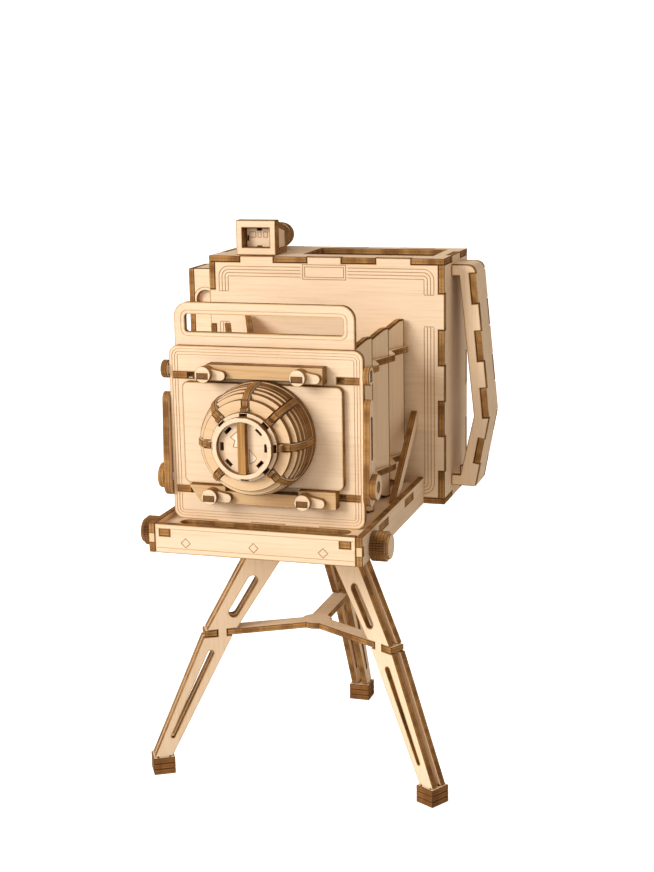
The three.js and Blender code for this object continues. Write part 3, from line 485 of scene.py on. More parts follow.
def break_edges(bm, arris):
    """Breaks every sharp edge and tells faces, cut edges and arrises apart by their material."""
    weld(bm)
    sharp = [e for e in bm.edges if len(e.link_faces) == 2 and e.calc_face_angle() > SHARP]
    made = bmesh.ops.bevel(
        bm, geom=sharp, offset=arris, segments=1, profile=0.5, affect="EDGES", clamp_overlap=True)
    corners = set(made["faces"])
    for face in bm.faces:
        if face in corners:
            face.material_index = BURNT_AND_SHADOW
        else:
            face.material_index = FACE if abs(face.normal.z) > LEVEL else EDGE
    return bm


def add_piece(name, bm, matrix, body, materials, nodes=()):
    mesh = bpy.data.meshes.new(name)
    bm.to_mesh(mesh)
    bm.free()
    for material in materials:
        mesh.materials.append(material)
    mesh.shade_smooth()
    mesh.set_sharp_from_angle(angle=SHARP)
    piece = bpy.data.objects.new(name, mesh)
    bpy.context.scene.collection.objects.link(piece)
    piece.matrix_world = matrix
    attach(piece, body)
    if nodes:
        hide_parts(*nodes)
    return piece


def body_of(node):
    for body, members in frame["record"]["behaviour"]["bodies"].items():
        if node in members:
            return body
    raise ValueError(f"no body carries {node}")


def axes(along, normal, origin=(0, 0, 0)):
    """Placement with the grain along X and the sheet's thickness along Z."""
    z = Vector(normal).normalized()
    x = Vector(along)
    x = (x - z * x.dot(z)).normalized()
    matrix = Matrix((x, z.cross(x), z)).transposed().to_4x4()
    matrix.translation = Vector(origin)
    return matrix


def sheet_axes(node, along, normal):
    """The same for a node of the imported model, from the middle of its back face."""
    turn = axes(along, normal)
    points = [turn.transposed() @ v.co for v in frame["nodes"][node].data.vertices]
    low = Vector([min(p[i] for p in points) for i in range(3)])
    high = Vector([max(p[i] for p in points) for i in range(3)])
    turn.translation = turn.to_3x3() @ Vector(((low.x + high.x) / 2, (low.y + high.y) / 2, low.z))
    return turn


def add_margin(bm, width, place):
    """Gives the faces of a sheet a margin along their outlines, in the material at that place."""
    faces = [face for face in bm.faces if face.material_index == FACE]
    made = bmesh.ops.inset_region(bm, faces=faces, thickness=width, use_boundary=True, use_even_offset=False)
    for face in made["faces"]:
        face.material_index = place


def dress_sheet(plywood, node, along, normal, face=pale_face, slot="pale_wood", halo=True, burn_and_shadow_margin=0.0,
                rounding=None):
    """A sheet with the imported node's shape and broken edges."""
    matrix = sheet_axes(node, along, normal)
    bm = bmesh.new()
    bm.from_mesh(frame["nodes"][node].data)
    bm.transform(matrix.inverted())
    if rounding:
        rounding(bm)
    break_edges(bm, plywood.arris)
    # A margin in the burnt material along the outlines: on the bellows panels it is partly laser burn and partly
    # painted shadow
    if burn_and_shadow_margin:
        add_margin(bm, burn_and_shadow_margin, BURNT_AND_SHADOW)
    if halo and face is pale_face and slot == "pale_wood":
        add_margin(bm, plywood.halo, TOASTED)
    materials = sheet_materials(plywood, face)
    return add_piece(f"dressed_{node}", bm, matrix, body_of(node), materials, [node])


def add_sheet(plywood, name, loops, matrix, nodes=(), face=pale_face, edge=cut_edge):
    """A new sheet of the camera, from its outline and holes."""
    bm = break_edges(plate(loops, plywood.sheet), plywood.arris)
    return add_piece(name, bm, matrix, "camera", sheet_materials(plywood, face, edge), nodes)


def engrave(piece, plywood, loops_of_lines, line=engraved_line, depth=None):
    """Cuts lines, each given by its loops, into the upper face of a sheet."""
    depth = depth or plywood.line_depth
    top = max(v.co.z for v in piece.data.vertices)
    cutter_mesh = bpy.data.meshes.new("cutter")
    bm = joined([plate(loops, depth + plywood.arris, top - depth) for loops in loops_of_lines])
    bm.to_mesh(cutter_mesh)
    bm.free()
    cutter_mesh.materials.append(line(plywood))
    cutter = bpy.data.objects.new("cutter", cutter_mesh)
    bpy.context.scene.collection.objects.link(cutter)
    cutter.matrix_world = piece.matrix_world
    modifier = piece.modifiers.new("engrave", "BOOLEAN")
    modifier.operation = "DIFFERENCE"
    modifier.solver = "EXACT"
    modifier.material_mode = "TRANSFER"
    modifier.object = cutter
    bpy.context.view_layer.update()
    cut = bpy.data.meshes.new_from_object(piece.evaluated_get(bpy.context.evaluated_depsgraph_get()))
    piece.modifiers.clear()
    old = piece.data
    piece.data = cut
    bpy.data.meshes.remove(old)
    cut.name = piece.name
    bpy.data.objects.remove(cutter)
    bpy.data.meshes.remove(cutter_mesh)


def on_front(piece, points):
    """World X and Z in metres as points of a front sheet's plane."""
    inverse = piece.matrix_world.inverted()
    flat = [inverse @ Vector((x, 0, z)) for x, z in points]
    return [(p.x, p.y) for p in flat]


def front_strips(plywood, piece, lines, closed=False):
    """Loops of lines that are given in world X and Z, for a front sheet."""
    return [strip(on_front(piece, line), plywood.line_width, closed) for line in lines]


# Camera body


def body_border(plywood):
    """Lines round the body's front, in X and Z, on both sides of a gap at the finger."""
    low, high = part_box("body_front")
    first_inset = 3.6 * MM
    pitch = 1.13 * MM
    offsets = [first_inset + pitch * i for i in range(4)]
    last = offsets[-1]
    middle = (low.x + high.x) / 2
    half = (high.x - low.x) / 2
    corner_x = half - last
    inner_radius = 0.3 * MM
    plate_half = 8.4 * MM
    bottom_end = 0.6 * corner_x
    gap_top = high.z - 12 * MM
    gap_bottom = high.z - 23.2 * MM
    lines = []
    for side in SIDES.values():
        for offset in offsets:
            radius = last - offset + inner_radius
            centre = (corner_x - inner_radius, high.z - last - inner_radius)
            top = arc(centre, radius, math.pi / 2, 0)
            path = [(plate_half, high.z - offset), *top, (half - offset, gap_top)]
            lines.append([(middle + side * x, z) for x, z in path])
            centre = (corner_x - inner_radius, low.z + last + inner_radius)
            bottom = arc(centre, radius, 0, -math.pi / 2)
            path = [(half - offset, gap_bottom), *bottom, (bottom_end, low.z + offset)]
            lines.append([(middle + side * x, z) for x, z in path])
        for z in (gap_top - plywood.line_width, gap_bottom + plywood.line_width):
            ends = [(middle + side * (half - last), z), (middle + side * (half - offsets[0]), z)]
            lines.append(ends)
    return lines


def name_plate():
    """Two frames of a bare plate at the top of the body's front."""
    low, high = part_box("body_front")
    middle = (low.x + high.x) / 2
    drop = 2.7 * MM
    height = 5 * MM
    half = 7.7 * MM
    inner_inset = 0.75 * MM
    top = high.z - drop
    bottom = top - height
    frames = []
    for inset in (0, inner_inset):
        frames.append(rectangle(middle - half + inset, middle + half - inset, bottom + inset, top - inset))
    return frames


def build_body(plywood):
    front = dress_sheet(plywood, "body_front", RIGHT, FRONT)
    loops = front_strips(plywood, front, body_border(plywood))
    loops += front_strips(plywood, front, name_plate(), True)
    engrave(front, plywood, loops)
    dress_sheet(plywood, "body_back", RIGHT, BACK)
    dress_sheet(plywood, "body_left", UP, LEFT)
    dress_sheet(plywood, "body_right", UP, RIGHT)
    dress_sheet(plywood, "body_top", RIGHT, UP)
    dress_sheet(plywood, "body_bottom", RIGHT, -UP)


# Viewfinder, housing and strap


EYEPIECE_BORE = 2.4 * MM


def sight_marks():
    """Three small marks on the plate behind the viewfinder's window."""
    size = 0.95 * MM
    rise = 1.2 * MM
    marks = []
    for x, stretch in ((-2.6 * MM, 1.3), (0, 0.6), (2.2 * MM, 0.7)):
        marks.append(moved(rectangle(-size * stretch, size * stretch, -size, size), x, rise))
    return marks


def build_viewfinder_box(plywood):
    """Floor, walls, back and a lid that slopes down to the back."""
    sheet = plywood.sheet
    low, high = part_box("viewfinder_box")
    middle = (low + high) / 2
    corners = [v.co for v in frame["nodes"]["viewfinder_box"].data.vertices]
    back_top = max(corner.z for corner in corners if corner.y > high.y - WELD)
    slope = Vector((0, high.y - low.y, back_top - high.z))
    steepness = (high.z - back_top) / slope.y
    half = (high.x - low.x) / 2

    lid_normal = slope.cross(LEFT).normalized()
    lid = rectangle(sheet * steepness, slope.length, -half, half)
    lid_place = axes(slope, lid_normal, Vector((middle.x, low.y, high.z)) - lid_normal * sheet)
    add_sheet(plywood, "viewfinder_lid", [lid], lid_place, nodes=["viewfinder_box"])

    def under_lid(y):
        return high.z - sheet / lid_normal.z - (y - low.y) * steepness

    length = slope.y - sheet
    floor = rectangle(0, length, -half, half)
    floor_top = low.z + sheet
    add_sheet(plywood, "viewfinder_floor", [floor], axes(BACK, UP, (middle.x, low.y, low.z)))
    front_height = under_lid(low.y) - floor_top
    back_height = under_lid(low.y + length) - floor_top
    for name, side in SIDES.items():
        wall = [(0, 0), (length, 0), (length, side * back_height), (0, side * front_height)]
        place = axes(BACK, RIGHT * side, (middle.x + side * (half - sheet), low.y, floor_top))
        add_sheet(plywood, f"viewfinder_wall_{name}", [wall], place)

    tube_low, tube_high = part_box("eyepiece")
    sight_z = (tube_low.z + tube_high.z) / 2
    back = rectangle(-half, half, low.z - sight_z, under_lid(high.y) - sight_z)
    place = axes(LEFT, BACK, (middle.x, high.y - sheet, sight_z))
    add_sheet(plywood, "viewfinder_back", [back, circle(EYEPIECE_BORE, steps=48)], place)

    # Plate behind the window, with a notch in the middle of each edge
    half_width = half - sheet
    half_height = (under_lid(low.y + sheet) - floor_top) / 2
    notch = 0.8 * MM
    loop = []
    for turn in range(4):
        reach, span = (half_height, half_width) if turn % 2 == 0 else (half_width, half_height)
        deep = notch - reach
        edge = [(-span, -reach), (-notch, -reach), (-notch, deep), (notch, deep), (notch, -reach)]
        loop += turned(edge, turn * math.pi / 2)
    place = axes(RIGHT, FRONT, (middle.x, low.y + sheet, floor_top + half_height))
    sight = add_sheet(plywood, "viewfinder_sight_plate", [loop], place)
    engrave(sight, plywood, [strip(mark, plywood.line_width, True) for mark in sight_marks()])


def build_viewfinder(plywood):
    dress_sheet(plywood, "viewfinder_front", RIGHT, FRONT)
    build_viewfinder_box(plywood)

    # The eyepiece is a stack of rings, every other one slightly smaller
    low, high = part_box("eyepiece")
    middle = (low + high) / 2
    length = high.y - low.y
    radius = (high.x - low.x) / 2
    count = round(length / plywood.sheet)
    depth = length / count
    step = 0.35 * MM
    rings = []
    for index in range(count):
        ring = radius - step * (index % 2)
        loops = [circle(ring, steps=64), circle(EYEPIECE_BORE, steps=48)]
        rings.append(break_edges(plate(loops, depth, index * depth), plywood.arris))
    place = axes(RIGHT, BACK, (middle.x, low.y, middle.z))
    add_piece("eyepiece_rings", joined(rings), place, "camera", sheet_materials(plywood), ["eyepiece"])


def build_housing(plywood):
    """Side wall at full size, with the other sheets set behind it."""
    sheet = plywood.sheet
    low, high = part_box("side_housing")
    middle = (low + high) / 2
    depth = high.y - low.y
    height = high.z - low.z
    wall = rectangle(-height / 2, height / 2, -depth / 2, depth / 2)
    add_sheet(plywood, "housing_wall", [wall], axes(UP, LEFT, (low.x + sheet, middle.y, middle.z)),
              nodes=["side_housing"])

    half = (high.x - low.x - sheet) / 2
    face = rectangle(-half, half, -height / 2, height / 2)
    centre = middle.x + sheet / 2
    port_drop = 11 * MM
    port = (-sheet / 2, height / 2 - port_drop)
    radius = 3.3 * MM
    line_gap = 1.1 * MM
    front_place = axes(RIGHT, FRONT, (centre, low.y + sheet, middle.z))
    front = add_sheet(plywood, "housing_front", [face, circle(radius, port, 64)], front_place)
    engrave(front, plywood, [strip(circle(radius + line_gap, port, 64), plywood.line_width, True)])
    add_sheet(plywood, "housing_back", [face], axes(LEFT, BACK, (centre, high.y - sheet, middle.z)))
    inside = rectangle(-half, half, port[1] - 2 * radius, port[1] + 2 * radius)
    inside_place = axes(RIGHT, FRONT, (centre, low.y + 2 * sheet + plywood.arris, middle.z))
    add_sheet(plywood, "housing_port_plate", [inside], inside_place)
    lid = rectangle(-half, half, -depth / 2 + sheet, depth / 2 - sheet)
    for name, bottom in (("lid", high.z - sheet), ("floor", low.z)):
        add_sheet(plywood, f"housing_{name}", [lid], axes(RIGHT, UP, (centre, middle.y, bottom)))


def build_strap(plywood):
    dress_sheet(plywood, "strap_front", UP, FRONT)
    dress_sheet(plywood, "strap_back", UP, BACK)
    band = dress_sheet(plywood, "strap_band", UP, FRONT, halo=False)
    # The band's faces look outward, and its cut edges look to the front and the back
    swapped = {FACE: EDGE, EDGE: FACE}
    for face in band.data.polygons:
        face.material_index = swapped.get(face.material_index, face.material_index)


# Bed and focus drive


def bed_lines():
    """Two lines along the bed's front."""
    low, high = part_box("bed_front")
    inset = 0.6 * MM
    drop = 1.5 * MM
    rise = 1.7 * MM
    return [[(low.x + inset, z), (high.x - inset, z)] for z in (high.z - drop, low.z + rise)]


def bed_diamonds():
    """Three diamonds between the lines."""
    low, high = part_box("bed_front")
    middle = (low.x + high.x) / 2
    rise = 3.6 * MM
    reach = 1.5 * MM
    pitch = 22.3 * MM
    z = low.z + rise
    columns = [middle + step * pitch for step in (-1, 0, 1)]
    return [[(x - reach, z), (x, z - reach), (x + reach, z), (x, z + reach)] for x in columns]


def add_bed_finger(plywood, name, rail):
    """Finger of the bed's front in a notch of the rail beside it, a third of the rail high."""
    sheet = plywood.sheet
    low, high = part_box(f"bed_rail_{name}")
    middle = (low + high) / 2
    front_end = (low.y - high.y) / 2
    half = (high.z - low.z) / 6
    gap = 0.03 * MM
    notch = rectangle(front_end - gap, front_end + sheet, -half, half)
    engrave(rail, plywood, [[notch]], cut_edge, 2 * sheet)
    finger = rectangle(-sheet / 2, sheet / 2, gap - half, half - gap)
    place = axes(RIGHT, FRONT, (middle.x, low.y + sheet, middle.z))
    add_sheet(plywood, f"bed_finger_{name}", [finger], place, face=honey_face)


def build_bed(plywood):
    front = dress_sheet(plywood, "bed_front", RIGHT, FRONT)
    engrave(front, plywood, front_strips(plywood, front, bed_lines()), faint_line)
    engrave(front, plywood, front_strips(plywood, front, bed_diamonds(), True))
    dress_sheet(plywood, "bed_top", RIGHT, UP)
    dress_sheet(plywood, "bed_bottom", RIGHT, -UP)
    for name, side in SIDES.items():
        rail = dress_sheet(plywood, f"bed_rail_{name}", BACK, RIGHT * side)
        add_bed_finger(plywood, name, rail)
        dress_sheet(plywood, f"bed_strut_{name}", BACK, RIGHT * side)


def toothed_circle(radius, depth, teeth):
    """Outline of a knob: every tooth has two points at its root and two at its tip."""
    root = radius - depth
    points = []
    for index in range(teeth):
        for share, reach in ((0.1, root), (0.35, radius), (0.65, radius), (0.9, root)):
            points += turned([(reach, 0)], (index + share) / teeth * 2 * math.pi)
    return points


def build_focus_drive(plywood):
    """Axle and two knobs, each a toothed drum with a smaller cap."""
    dress_sheet(plywood, "focus_axle", UP, RIGHT, slot="brown_wood")
    cap_length = 1 * MM
    cap_inset = 0.8 * MM
    tooth_depth = 0.5 * MM
    teeth = 34
    for name, side in SIDES.items():
        node = f"focus_knob_{name}"
        low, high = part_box(node)
        middle = (low + high) / 2
        radius = (high.z - low.z) / 2
        drum_length = high.x - low.x - cap_length
        drum = plate([toothed_circle(radius, tooth_depth, teeth)], drum_length)
        cap = plate([circle(radius - cap_inset, steps=64)], cap_length, drum_length)
        bm = joined([break_edges(part, plywood.arris * SMALL_ARRIS) for part in (drum, cap)])
        place = axes(UP, RIGHT * side, (low.x if side > 0 else high.x, middle.y, middle.z))
        materials = sheet_materials(plywood)
        add_piece(f"focus_drum_{name}", bm, place, "focus_drive", materials, [node])


# Front standard


def standard_border():
    """Three lines round the standard's edge."""
    low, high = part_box("standard_plate")
    bed_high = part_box("bed_top")[1]
    middle = (low.x + high.x) / 2
    half = 31.5 * MM
    corner = 3.4 * MM
    bed_gap = 0.1 * MM
    bottom = bed_high.z + bed_gap
    lines = []
    for offset in (1.0 * MM, 1.9 * MM, 2.8 * MM):
        reach = half - offset
        lines.append(rounded_rectangle(
            middle - reach, middle + reach, bottom + offset, high.z - offset, corner - offset))
    return lines


def finder_line():
    """One line round the frame finder's window."""
    low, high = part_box("frame_finder")
    rim = 2.3 * MM
    corner = 2.2 * MM
    rise = 2.8 * MM
    height = 8 * MM
    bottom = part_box("standard_plate")[1].z + rise
    return rounded_rectangle(low.x + rim, high.x - rim, bottom, bottom + height, corner)


def build_standard(plywood):
    standard = dress_sheet(plywood, "standard_plate", RIGHT, FRONT)
    engrave(standard, plywood, front_strips(plywood, standard, standard_border(), True), faint_line)
    finder = dress_sheet(plywood, "frame_finder", RIGHT, FRONT)
    engrave(finder, plywood, front_strips(plywood, finder, [finder_line()], True), faint_line)
    for name, side in SIDES.items():
        dress_sheet(plywood, f"side_knob_{name}", UP, RIGHT * side, slot="brown_wood")
        dress_sheet(plywood, f"tilt_lever_{name}", UP, RIGHT * side, slot="brown_wood")


# Lens board and lens


def paddle_outline(disc, root_half, end, end_radius):
    """A disc with an arm that narrows to a round end."""
    lean = math.asin(root_half / disc)
    points = arc((0, 0), disc, lean, 2 * math.pi - lean, 48)
    points += arc((math.hypot(*end), 0), end_radius, -math.pi / 2, math.pi / 2, 16)
    return turned(points, math.atan2(end[1], end[0]))


def build_button(plywood, node):
    """Turn button: a paddle, a cap with a slot, and a tenon whose end shows in the slot."""
    sheet = plywood.sheet
    joint = next(j for j in frame["joints"] if j["name"] == f"{node}_turn")
    low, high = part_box(node)
    disc = 2.5 * MM
    arm_half = 1.7 * MM
    arm_end = (5.1 * MM, -0.5 * MM)
    end_radius = 1.4 * MM
    spindle_radius = 1 * MM
    gap = 0.08 * MM
    tenon = (-1.85 * MM, 1.65 * MM, -1.35 * MM, 0.4 * MM)
    slot = (tenon[0] - gap, tenon[1] + gap, tenon[2] - gap, tenon[3] + gap)
    spindle_length = high.y - low.y - 2 * sheet
    outline = paddle_outline(disc - gap, arm_half, arm_end, end_radius)
    paddle = plate([outline, rectangle(*slot)], sheet)
    cap = plate([circle(disc, steps=48), rectangle(*slot)], sheet, sheet)
    peg = plate([rectangle(*tenon)], 2 * sheet - gap)
    spindle = plate([circle(spindle_radius, steps=32)], spindle_length, -spindle_length)
    bm = joined([break_edges(part, plywood.arris * SMALL_ARRIS) for part in (paddle, cap, spindle)])
    end = break_edges(peg, plywood.arris * TENON_ARRIS)
    for face in end.faces:
        face.material_index = EDGE
    place = axes(RIGHT, FRONT, (joint["pos_m"][0], low.y + 2 * sheet, joint["pos_m"][2]))
    materials = sheet_materials(plywood)
    add_piece(f"dressed_{node}", joined([bm, end]), place, node, materials, [node])


def build_lens_board(plywood):
    dress_sheet(plywood, "lens_board", RIGHT, FRONT)
    for level in ("upper", "lower"):
        dress_sheet(plywood, f"clamp_bar_{level}", RIGHT, FRONT, face=toasted_face)
        for hand in SIDES:
            build_button(plywood, f"turn_button_{level}_{hand}")


LENS_RINGS = 6
LENS_PLACES = 8
FRONT_TRIM = 0.55 * MM
BASE_PROUD = 0.33 * MM
RIM_WIDTH = 1.35 * MM
BORE_INSET = 0.8 * MM
RIB_DEPTH = 2 * MM
RIB_PROUD = 0.4 * MM
RIB_PLAY = 0.25 * MM
RIB_TIP = 1.3 * MM
DISC_PLAY = 0.1 * MM
SLOT_LENGTH = 2.3 * MM
SLOT_WIDTH = 0.9 * MM
INNER_SLOTS = 7 * MM
EDGE_SLOTS = 9.75 * MM


def lens_angles():
    """Places round the lens, from the one after the lowest on to the lowest, which has no rib."""
    step = 2 * math.pi / LENS_PLACES
    return [-math.pi / 2 + (index + 1) * step for index in range(LENS_PLACES)]


def ring_radii(widest, sheet):
    """Radii of the rings, which follow a ball whose middle lies in the widest one."""
    ball = math.hypot(widest, sheet / 2)
    radii = [math.sqrt(ball ** 2 - ((index - 0.5) * sheet) ** 2) for index in range(LENS_RINGS)]
    radii[-1] -= FRONT_TRIM
    return radii


def notched_ring(radius, notch, half, angles):
    """Outline of a ring with notches at some angles."""
    lean = math.asin(half / radius)
    points = []
    for angle, following in zip(angles, angles[1:] + [angles[0] + 2 * math.pi]):
        points += turned([(notch, -half), (notch, half)], angle)
        steps = round((following - angle) * STEPS_PER_RADIAN)
        points += arc((0, 0), radius, angle + lean, following - lean, steps)
    return points


def rib_outline(sheet, radii, disc, tip):
    """One rib: distance in front of the widest ring's back along X, radius along Y."""
    face = LENS_RINGS * sheet
    groove = face - sheet / 2
    nose = disc + DISC_PLAY
    outer = [(0, radii[0] + RIB_PROUD)]
    outer += [((index + 1) * sheet, radius + RIB_PROUD) for index, radius in enumerate(radii)]
    outer += [(face + RIB_PROUD, radii[-1]), (face + RIB_PROUD, nose + RIB_TIP), (tip, nose + RIB_TIP)]
    inner = [(index * sheet, radius - RIB_DEPTH) for index, radius in enumerate(radii)]
    inner += [(groove, radii[-1] - RIB_DEPTH), (groove, nose), (tip, nose)]
    return inner + outer[::-1]


def disc_slots(radius):
    """Slots across a radius, at every place round the lens."""
    half = SLOT_WIDTH / 2
    slot = rectangle(radius - half, radius + half, -SLOT_LENGTH / 2, SLOT_LENGTH / 2)
    return [turned(slot, angle) for angle in lens_angles()]


def glint_lines():
    """Two angular glints engraved on the lens disc, beside the bar."""
    left = [(-1.7, 5.0), (-4.2, 2.9), (-2.8, 1.9), (-3.4, 0.0), (-1.7, -0.2)]
    right = [(1.7, -0.6), (4.0, -3.2), (3.2, -4.3), (1.7, -5.0)]
    return [[(x * MM, y * MM) for x, y in glint] for glint in (left, right)]


def build_lens(plywood):
    sheet = plywood.sheet
    cage_low, cage_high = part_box("lens_rib_cage")
    rim_low, rim_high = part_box("lens_front_ring")
    disc_low, disc_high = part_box("lens_disc")
    middle = (cage_low + cage_high) / 2
    axis_z = (disc_low.z + disc_high.z) / 2
    back = cage_high.y - sheet
    radii = ring_radii((cage_high.x - cage_low.x) / 2 - RIB_PROUD, sheet)
    disc = (disc_high.x - disc_low.x) / 2
    rim = (rim_high.x - rim_low.x) / 2
    bore = rim - BORE_INSET
    rib_angles = lens_angles()[:-1]

    def lens_place(y):
        return axes(RIGHT, FRONT, (middle.x, y, axis_z))

    # The rings' faces are a darker copy of the pale face, painted shade of the dome
    base = [circle(radii[0] + BASE_PROUD), circle(bore)]
    add_sheet(plywood, "lens_base_ring", base, lens_place(cage_high.y), nodes=["lens_rib_cage"],
              face=honey_face, edge=deep_edge)
    edge_slots = EDGE_SLOTS - SLOT_WIDTH / 2
    reaches = [radius - RIB_DEPTH - RIB_PLAY for radius in radii[1:]] + [edge_slots]
    for index, (radius, reach) in enumerate(zip(radii, reaches)):
        outline = notched_ring(radius, reach, sheet / 2 + RIB_PLAY, rib_angles)
        place = lens_place(back - index * sheet)
        add_sheet(plywood, f"lens_ring_{index + 1}", [outline, circle(bore)], place,
                  nodes=["lens_ring_stack"], face=honey_face, edge=deep_edge)
    rib = rib_outline(sheet, radii, disc, back - disc_low.y)
    for index, angle in enumerate(rib_angles):
        tangent = Vector((-math.sin(angle), 0, math.cos(angle)))
        place = axes(FRONT, tangent, Vector((middle.x, back, axis_z)) - tangent * sheet / 2)
        add_sheet(plywood, f"lens_rib_{index + 1}", [rib], place, nodes=["lens_rib_cage"])

    slots = disc_slots(INNER_SLOTS) + disc_slots(EDGE_SLOTS)
    glass = add_sheet(plywood, "lens_glass", [circle(disc), *slots], lens_place(disc_high.y),
                      nodes=["lens_disc"])
    # The glints' insides are sunk a little and filled with the brighter glint colour, a painted highlight
    engrave(glass, plywood, [[glint] for glint in glint_lines()], glint_face, plywood.line_depth / 2)
    engrave(glass, plywood, [strip(line, plywood.line_width, True) for line in glint_lines()])
    rim_outline = notched_ring(rim, edge_slots, SLOT_LENGTH / 2, lens_angles())
    add_sheet(plywood, "lens_rim", [rim_outline, circle(rim - RIM_WIDTH)], lens_place(rim_high.y),
              nodes=["lens_front_ring"])
    dress_sheet(plywood, "lens_bar", UP, FRONT, face=brown_face, slot="brown_wood")


# Bellows


TIP_ROUNDING = 1.8 * MM
# Width of a dark margin along the panels' outlines: partly laser burn, partly painted shadow of the gap to the
# next panel
PANEL_BURN_AND_SHADOW = 0.4 * MM


def sheet_normal(node):
    """Normal of a slanting sheet, from the largest of its faces."""
    mesh = frame["nodes"][node].data
    best = max(mesh.polygons, key=lambda face: face.area)
    return best.normal.copy()


def round_tips(bm, side):
    """Rounds the tips of a comb's wavy outer edge, but not its tenon."""
    weld(bm)
    reach = max(-side * v.co.y for v in bm.verts)
    tenon = min(v.co.x for v in bm.verts)
    outer = {v for v in bm.verts if -side * v.co.y > reach - WELD and v.co.x > tenon + WELD}
    upright = [e for e in bm.edges if abs(e.verts[0].co.z - e.verts[1].co.z) > MM]
    tips = [e for e in upright if outer.issuperset(e.verts)]
    bmesh.ops.bevel(
        bm, geom=tips, offset=TIP_ROUNDING, segments=6, profile=0.5, affect="EDGES", clamp_overlap=True)


def build_bellows(plywood):
    for name, side in SIDES.items():
        for index in (1, 2, 3):
            node = f"bellows_panel_{name}_{index}"
            normal = sheet_normal(node)
            outward = normal if normal.x * side > 0 else -normal
            # The panels' dark margins are partly painted shadow
            dress_sheet(plywood, node, UP, outward, burn_and_shadow_margin=PANEL_BURN_AND_SHADOW)
        for level in ("lower", "upper"):
            comb = f"bellows_comb_{name}_{level}"
            dress_sheet(plywood, comb, BACK, UP, halo=False, rounding=lambda bm: round_tips(bm, side))


# Tripod


def build_foot(plywood, node, across):
    """A foot of three layers, with two slots for the leg's tenons."""
    sheet = plywood.sheet
    low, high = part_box(node)
    middle = (low + high) / 2
    half_length = 3.7 * MM
    half_width = 3.9 * MM
    foot = rectangle(-half_length, half_length, -half_width, half_width)
    slot_reach = 2.1 * MM
    slot_half = 1.3 * MM
    slot_spread = 2 * MM
    slot = rectangle(-slot_reach, slot_reach, -slot_half, slot_half)
    slots = [moved(slot, 0, side * slot_spread) for side in SIDES.values()]
    layers = [plate([foot, *slots], sheet, index * sheet) for index in range(3)]
    layers = [break_edges(layer, plywood.arris * FOOT_ARRIS) for layer in layers]
    place = axes(across.cross(UP), UP, (middle.x, middle.y, low.z))
    materials = sheet_materials(plywood, edge=deep_edge)
    add_piece(f"layered_{node}", joined(layers), place, "camera", materials, [node])


def build_tripod(plywood):
    for name in ("left", "right", "rear"):
        node = f"leg_{name}"
        across = sheet_normal(node)
        dress_sheet(plywood, node, UP, across)
        build_foot(plywood, f"foot_{name}", across)
    dress_sheet(plywood, "leg_spreader", RIGHT, UP)
    dress_sheet(plywood, "tripod_head", RIGHT, UP)


# Stage


def floor_material(stage):
    material, tree, shader = new_material("studio_floor", 0.85)
    patches = noise(tree, (-900, 0), (3, 3, 3), 2, 0.5)
    patch_share = 0.985
    shade = [channel * patch_share for channel in stage.floor]
    tree.links.new(tint(tree, (-250, 100), patches, stage.floor, shade), shader.inputs["Base Color"])
    shader.inputs["Emission Strength"].default_value = stage.glow
    seen = add_node(tree, "ShaderNodeLightPath", (-500, -300))
    tree.links.new(seen.outputs["Is Camera Ray"], shader.inputs["Emission Color"])
    return material


def add_floor(stage):
    """A pale floor that curves up into a backdrop."""
    half_width = 3.0
    front = -3.0
    bend_start = 1.6
    bend_radius = 0.9
    height = 3.0
    bend = arc((bend_start, bend_radius), bend_radius, -math.pi / 2, 0, 24)
    profile = [(front, 0.0), *bend, (bend_start + bend_radius, height)]
    bm = bmesh.new()
    rows = [[bm.verts.new((x, y, z)) for x in (-half_width, half_width)] for y, z in profile]
    for lower, upper in zip(rows, rows[1:]):
        bm.faces.new((lower[0], lower[1], upper[1], upper[0]))
    mesh = bpy.data.meshes.new("studio_floor")
    bm.to_mesh(mesh)
    bm.free()
    mesh.materials.append(floor_material(stage))
    mesh.shade_smooth()
    floor = bpy.data.objects.new("studio_floor", mesh)
    bpy.context.scene.collection.objects.link(floor)


def aim(thing, place, target):
    thing.location = place
    thing.rotation_euler = (Vector(target) - Vector(place)).to_track_quat("-Z", "Y").to_euler()


def add_light(name, place, target, size, power):
    light = bpy.data.lights.new(name, "AREA")
    light.shape = "DISK"
    light.size = size
    light.energy = power
    thing = bpy.data.objects.new(name, light)
    bpy.context.scene.collection.objects.link(thing)
    aim(thing, place, target)


def add_sky(stage):
    """Warm light from all round, which the camera sees as white."""
    world = bpy.data.worlds.new("studio_sky")
    world.use_nodes = True
    tree = world.node_tree
    light = tree.nodes["Background"]
    light.inputs["Color"].default_value = (*stage.sky_tint, 1)
    light.inputs["Strength"].default_value = stage.sky
    white = add_node(tree, "ShaderNodeBackground", (-200, -200))
    white.inputs["Color"].default_value = (1, 1, 1, 1)
    white.inputs["Strength"].default_value = 1 + stage.glow
    seen = add_node(tree, "ShaderNodeLightPath", (-200, 400))
    mix = add_node(tree, "ShaderNodeMixShader", (100, 0))
    tree.links.new(seen.outputs["Is Camera Ray"], mix.inputs["Fac"])
    tree.links.new(light.outputs["Background"], mix.inputs[1])
    tree.links.new(white.outputs["Background"], mix.inputs[2])
    tree.links.new(mix.outputs["Shader"], tree.nodes["World Output"].inputs["Surface"])
    bpy.context.scene.world = world


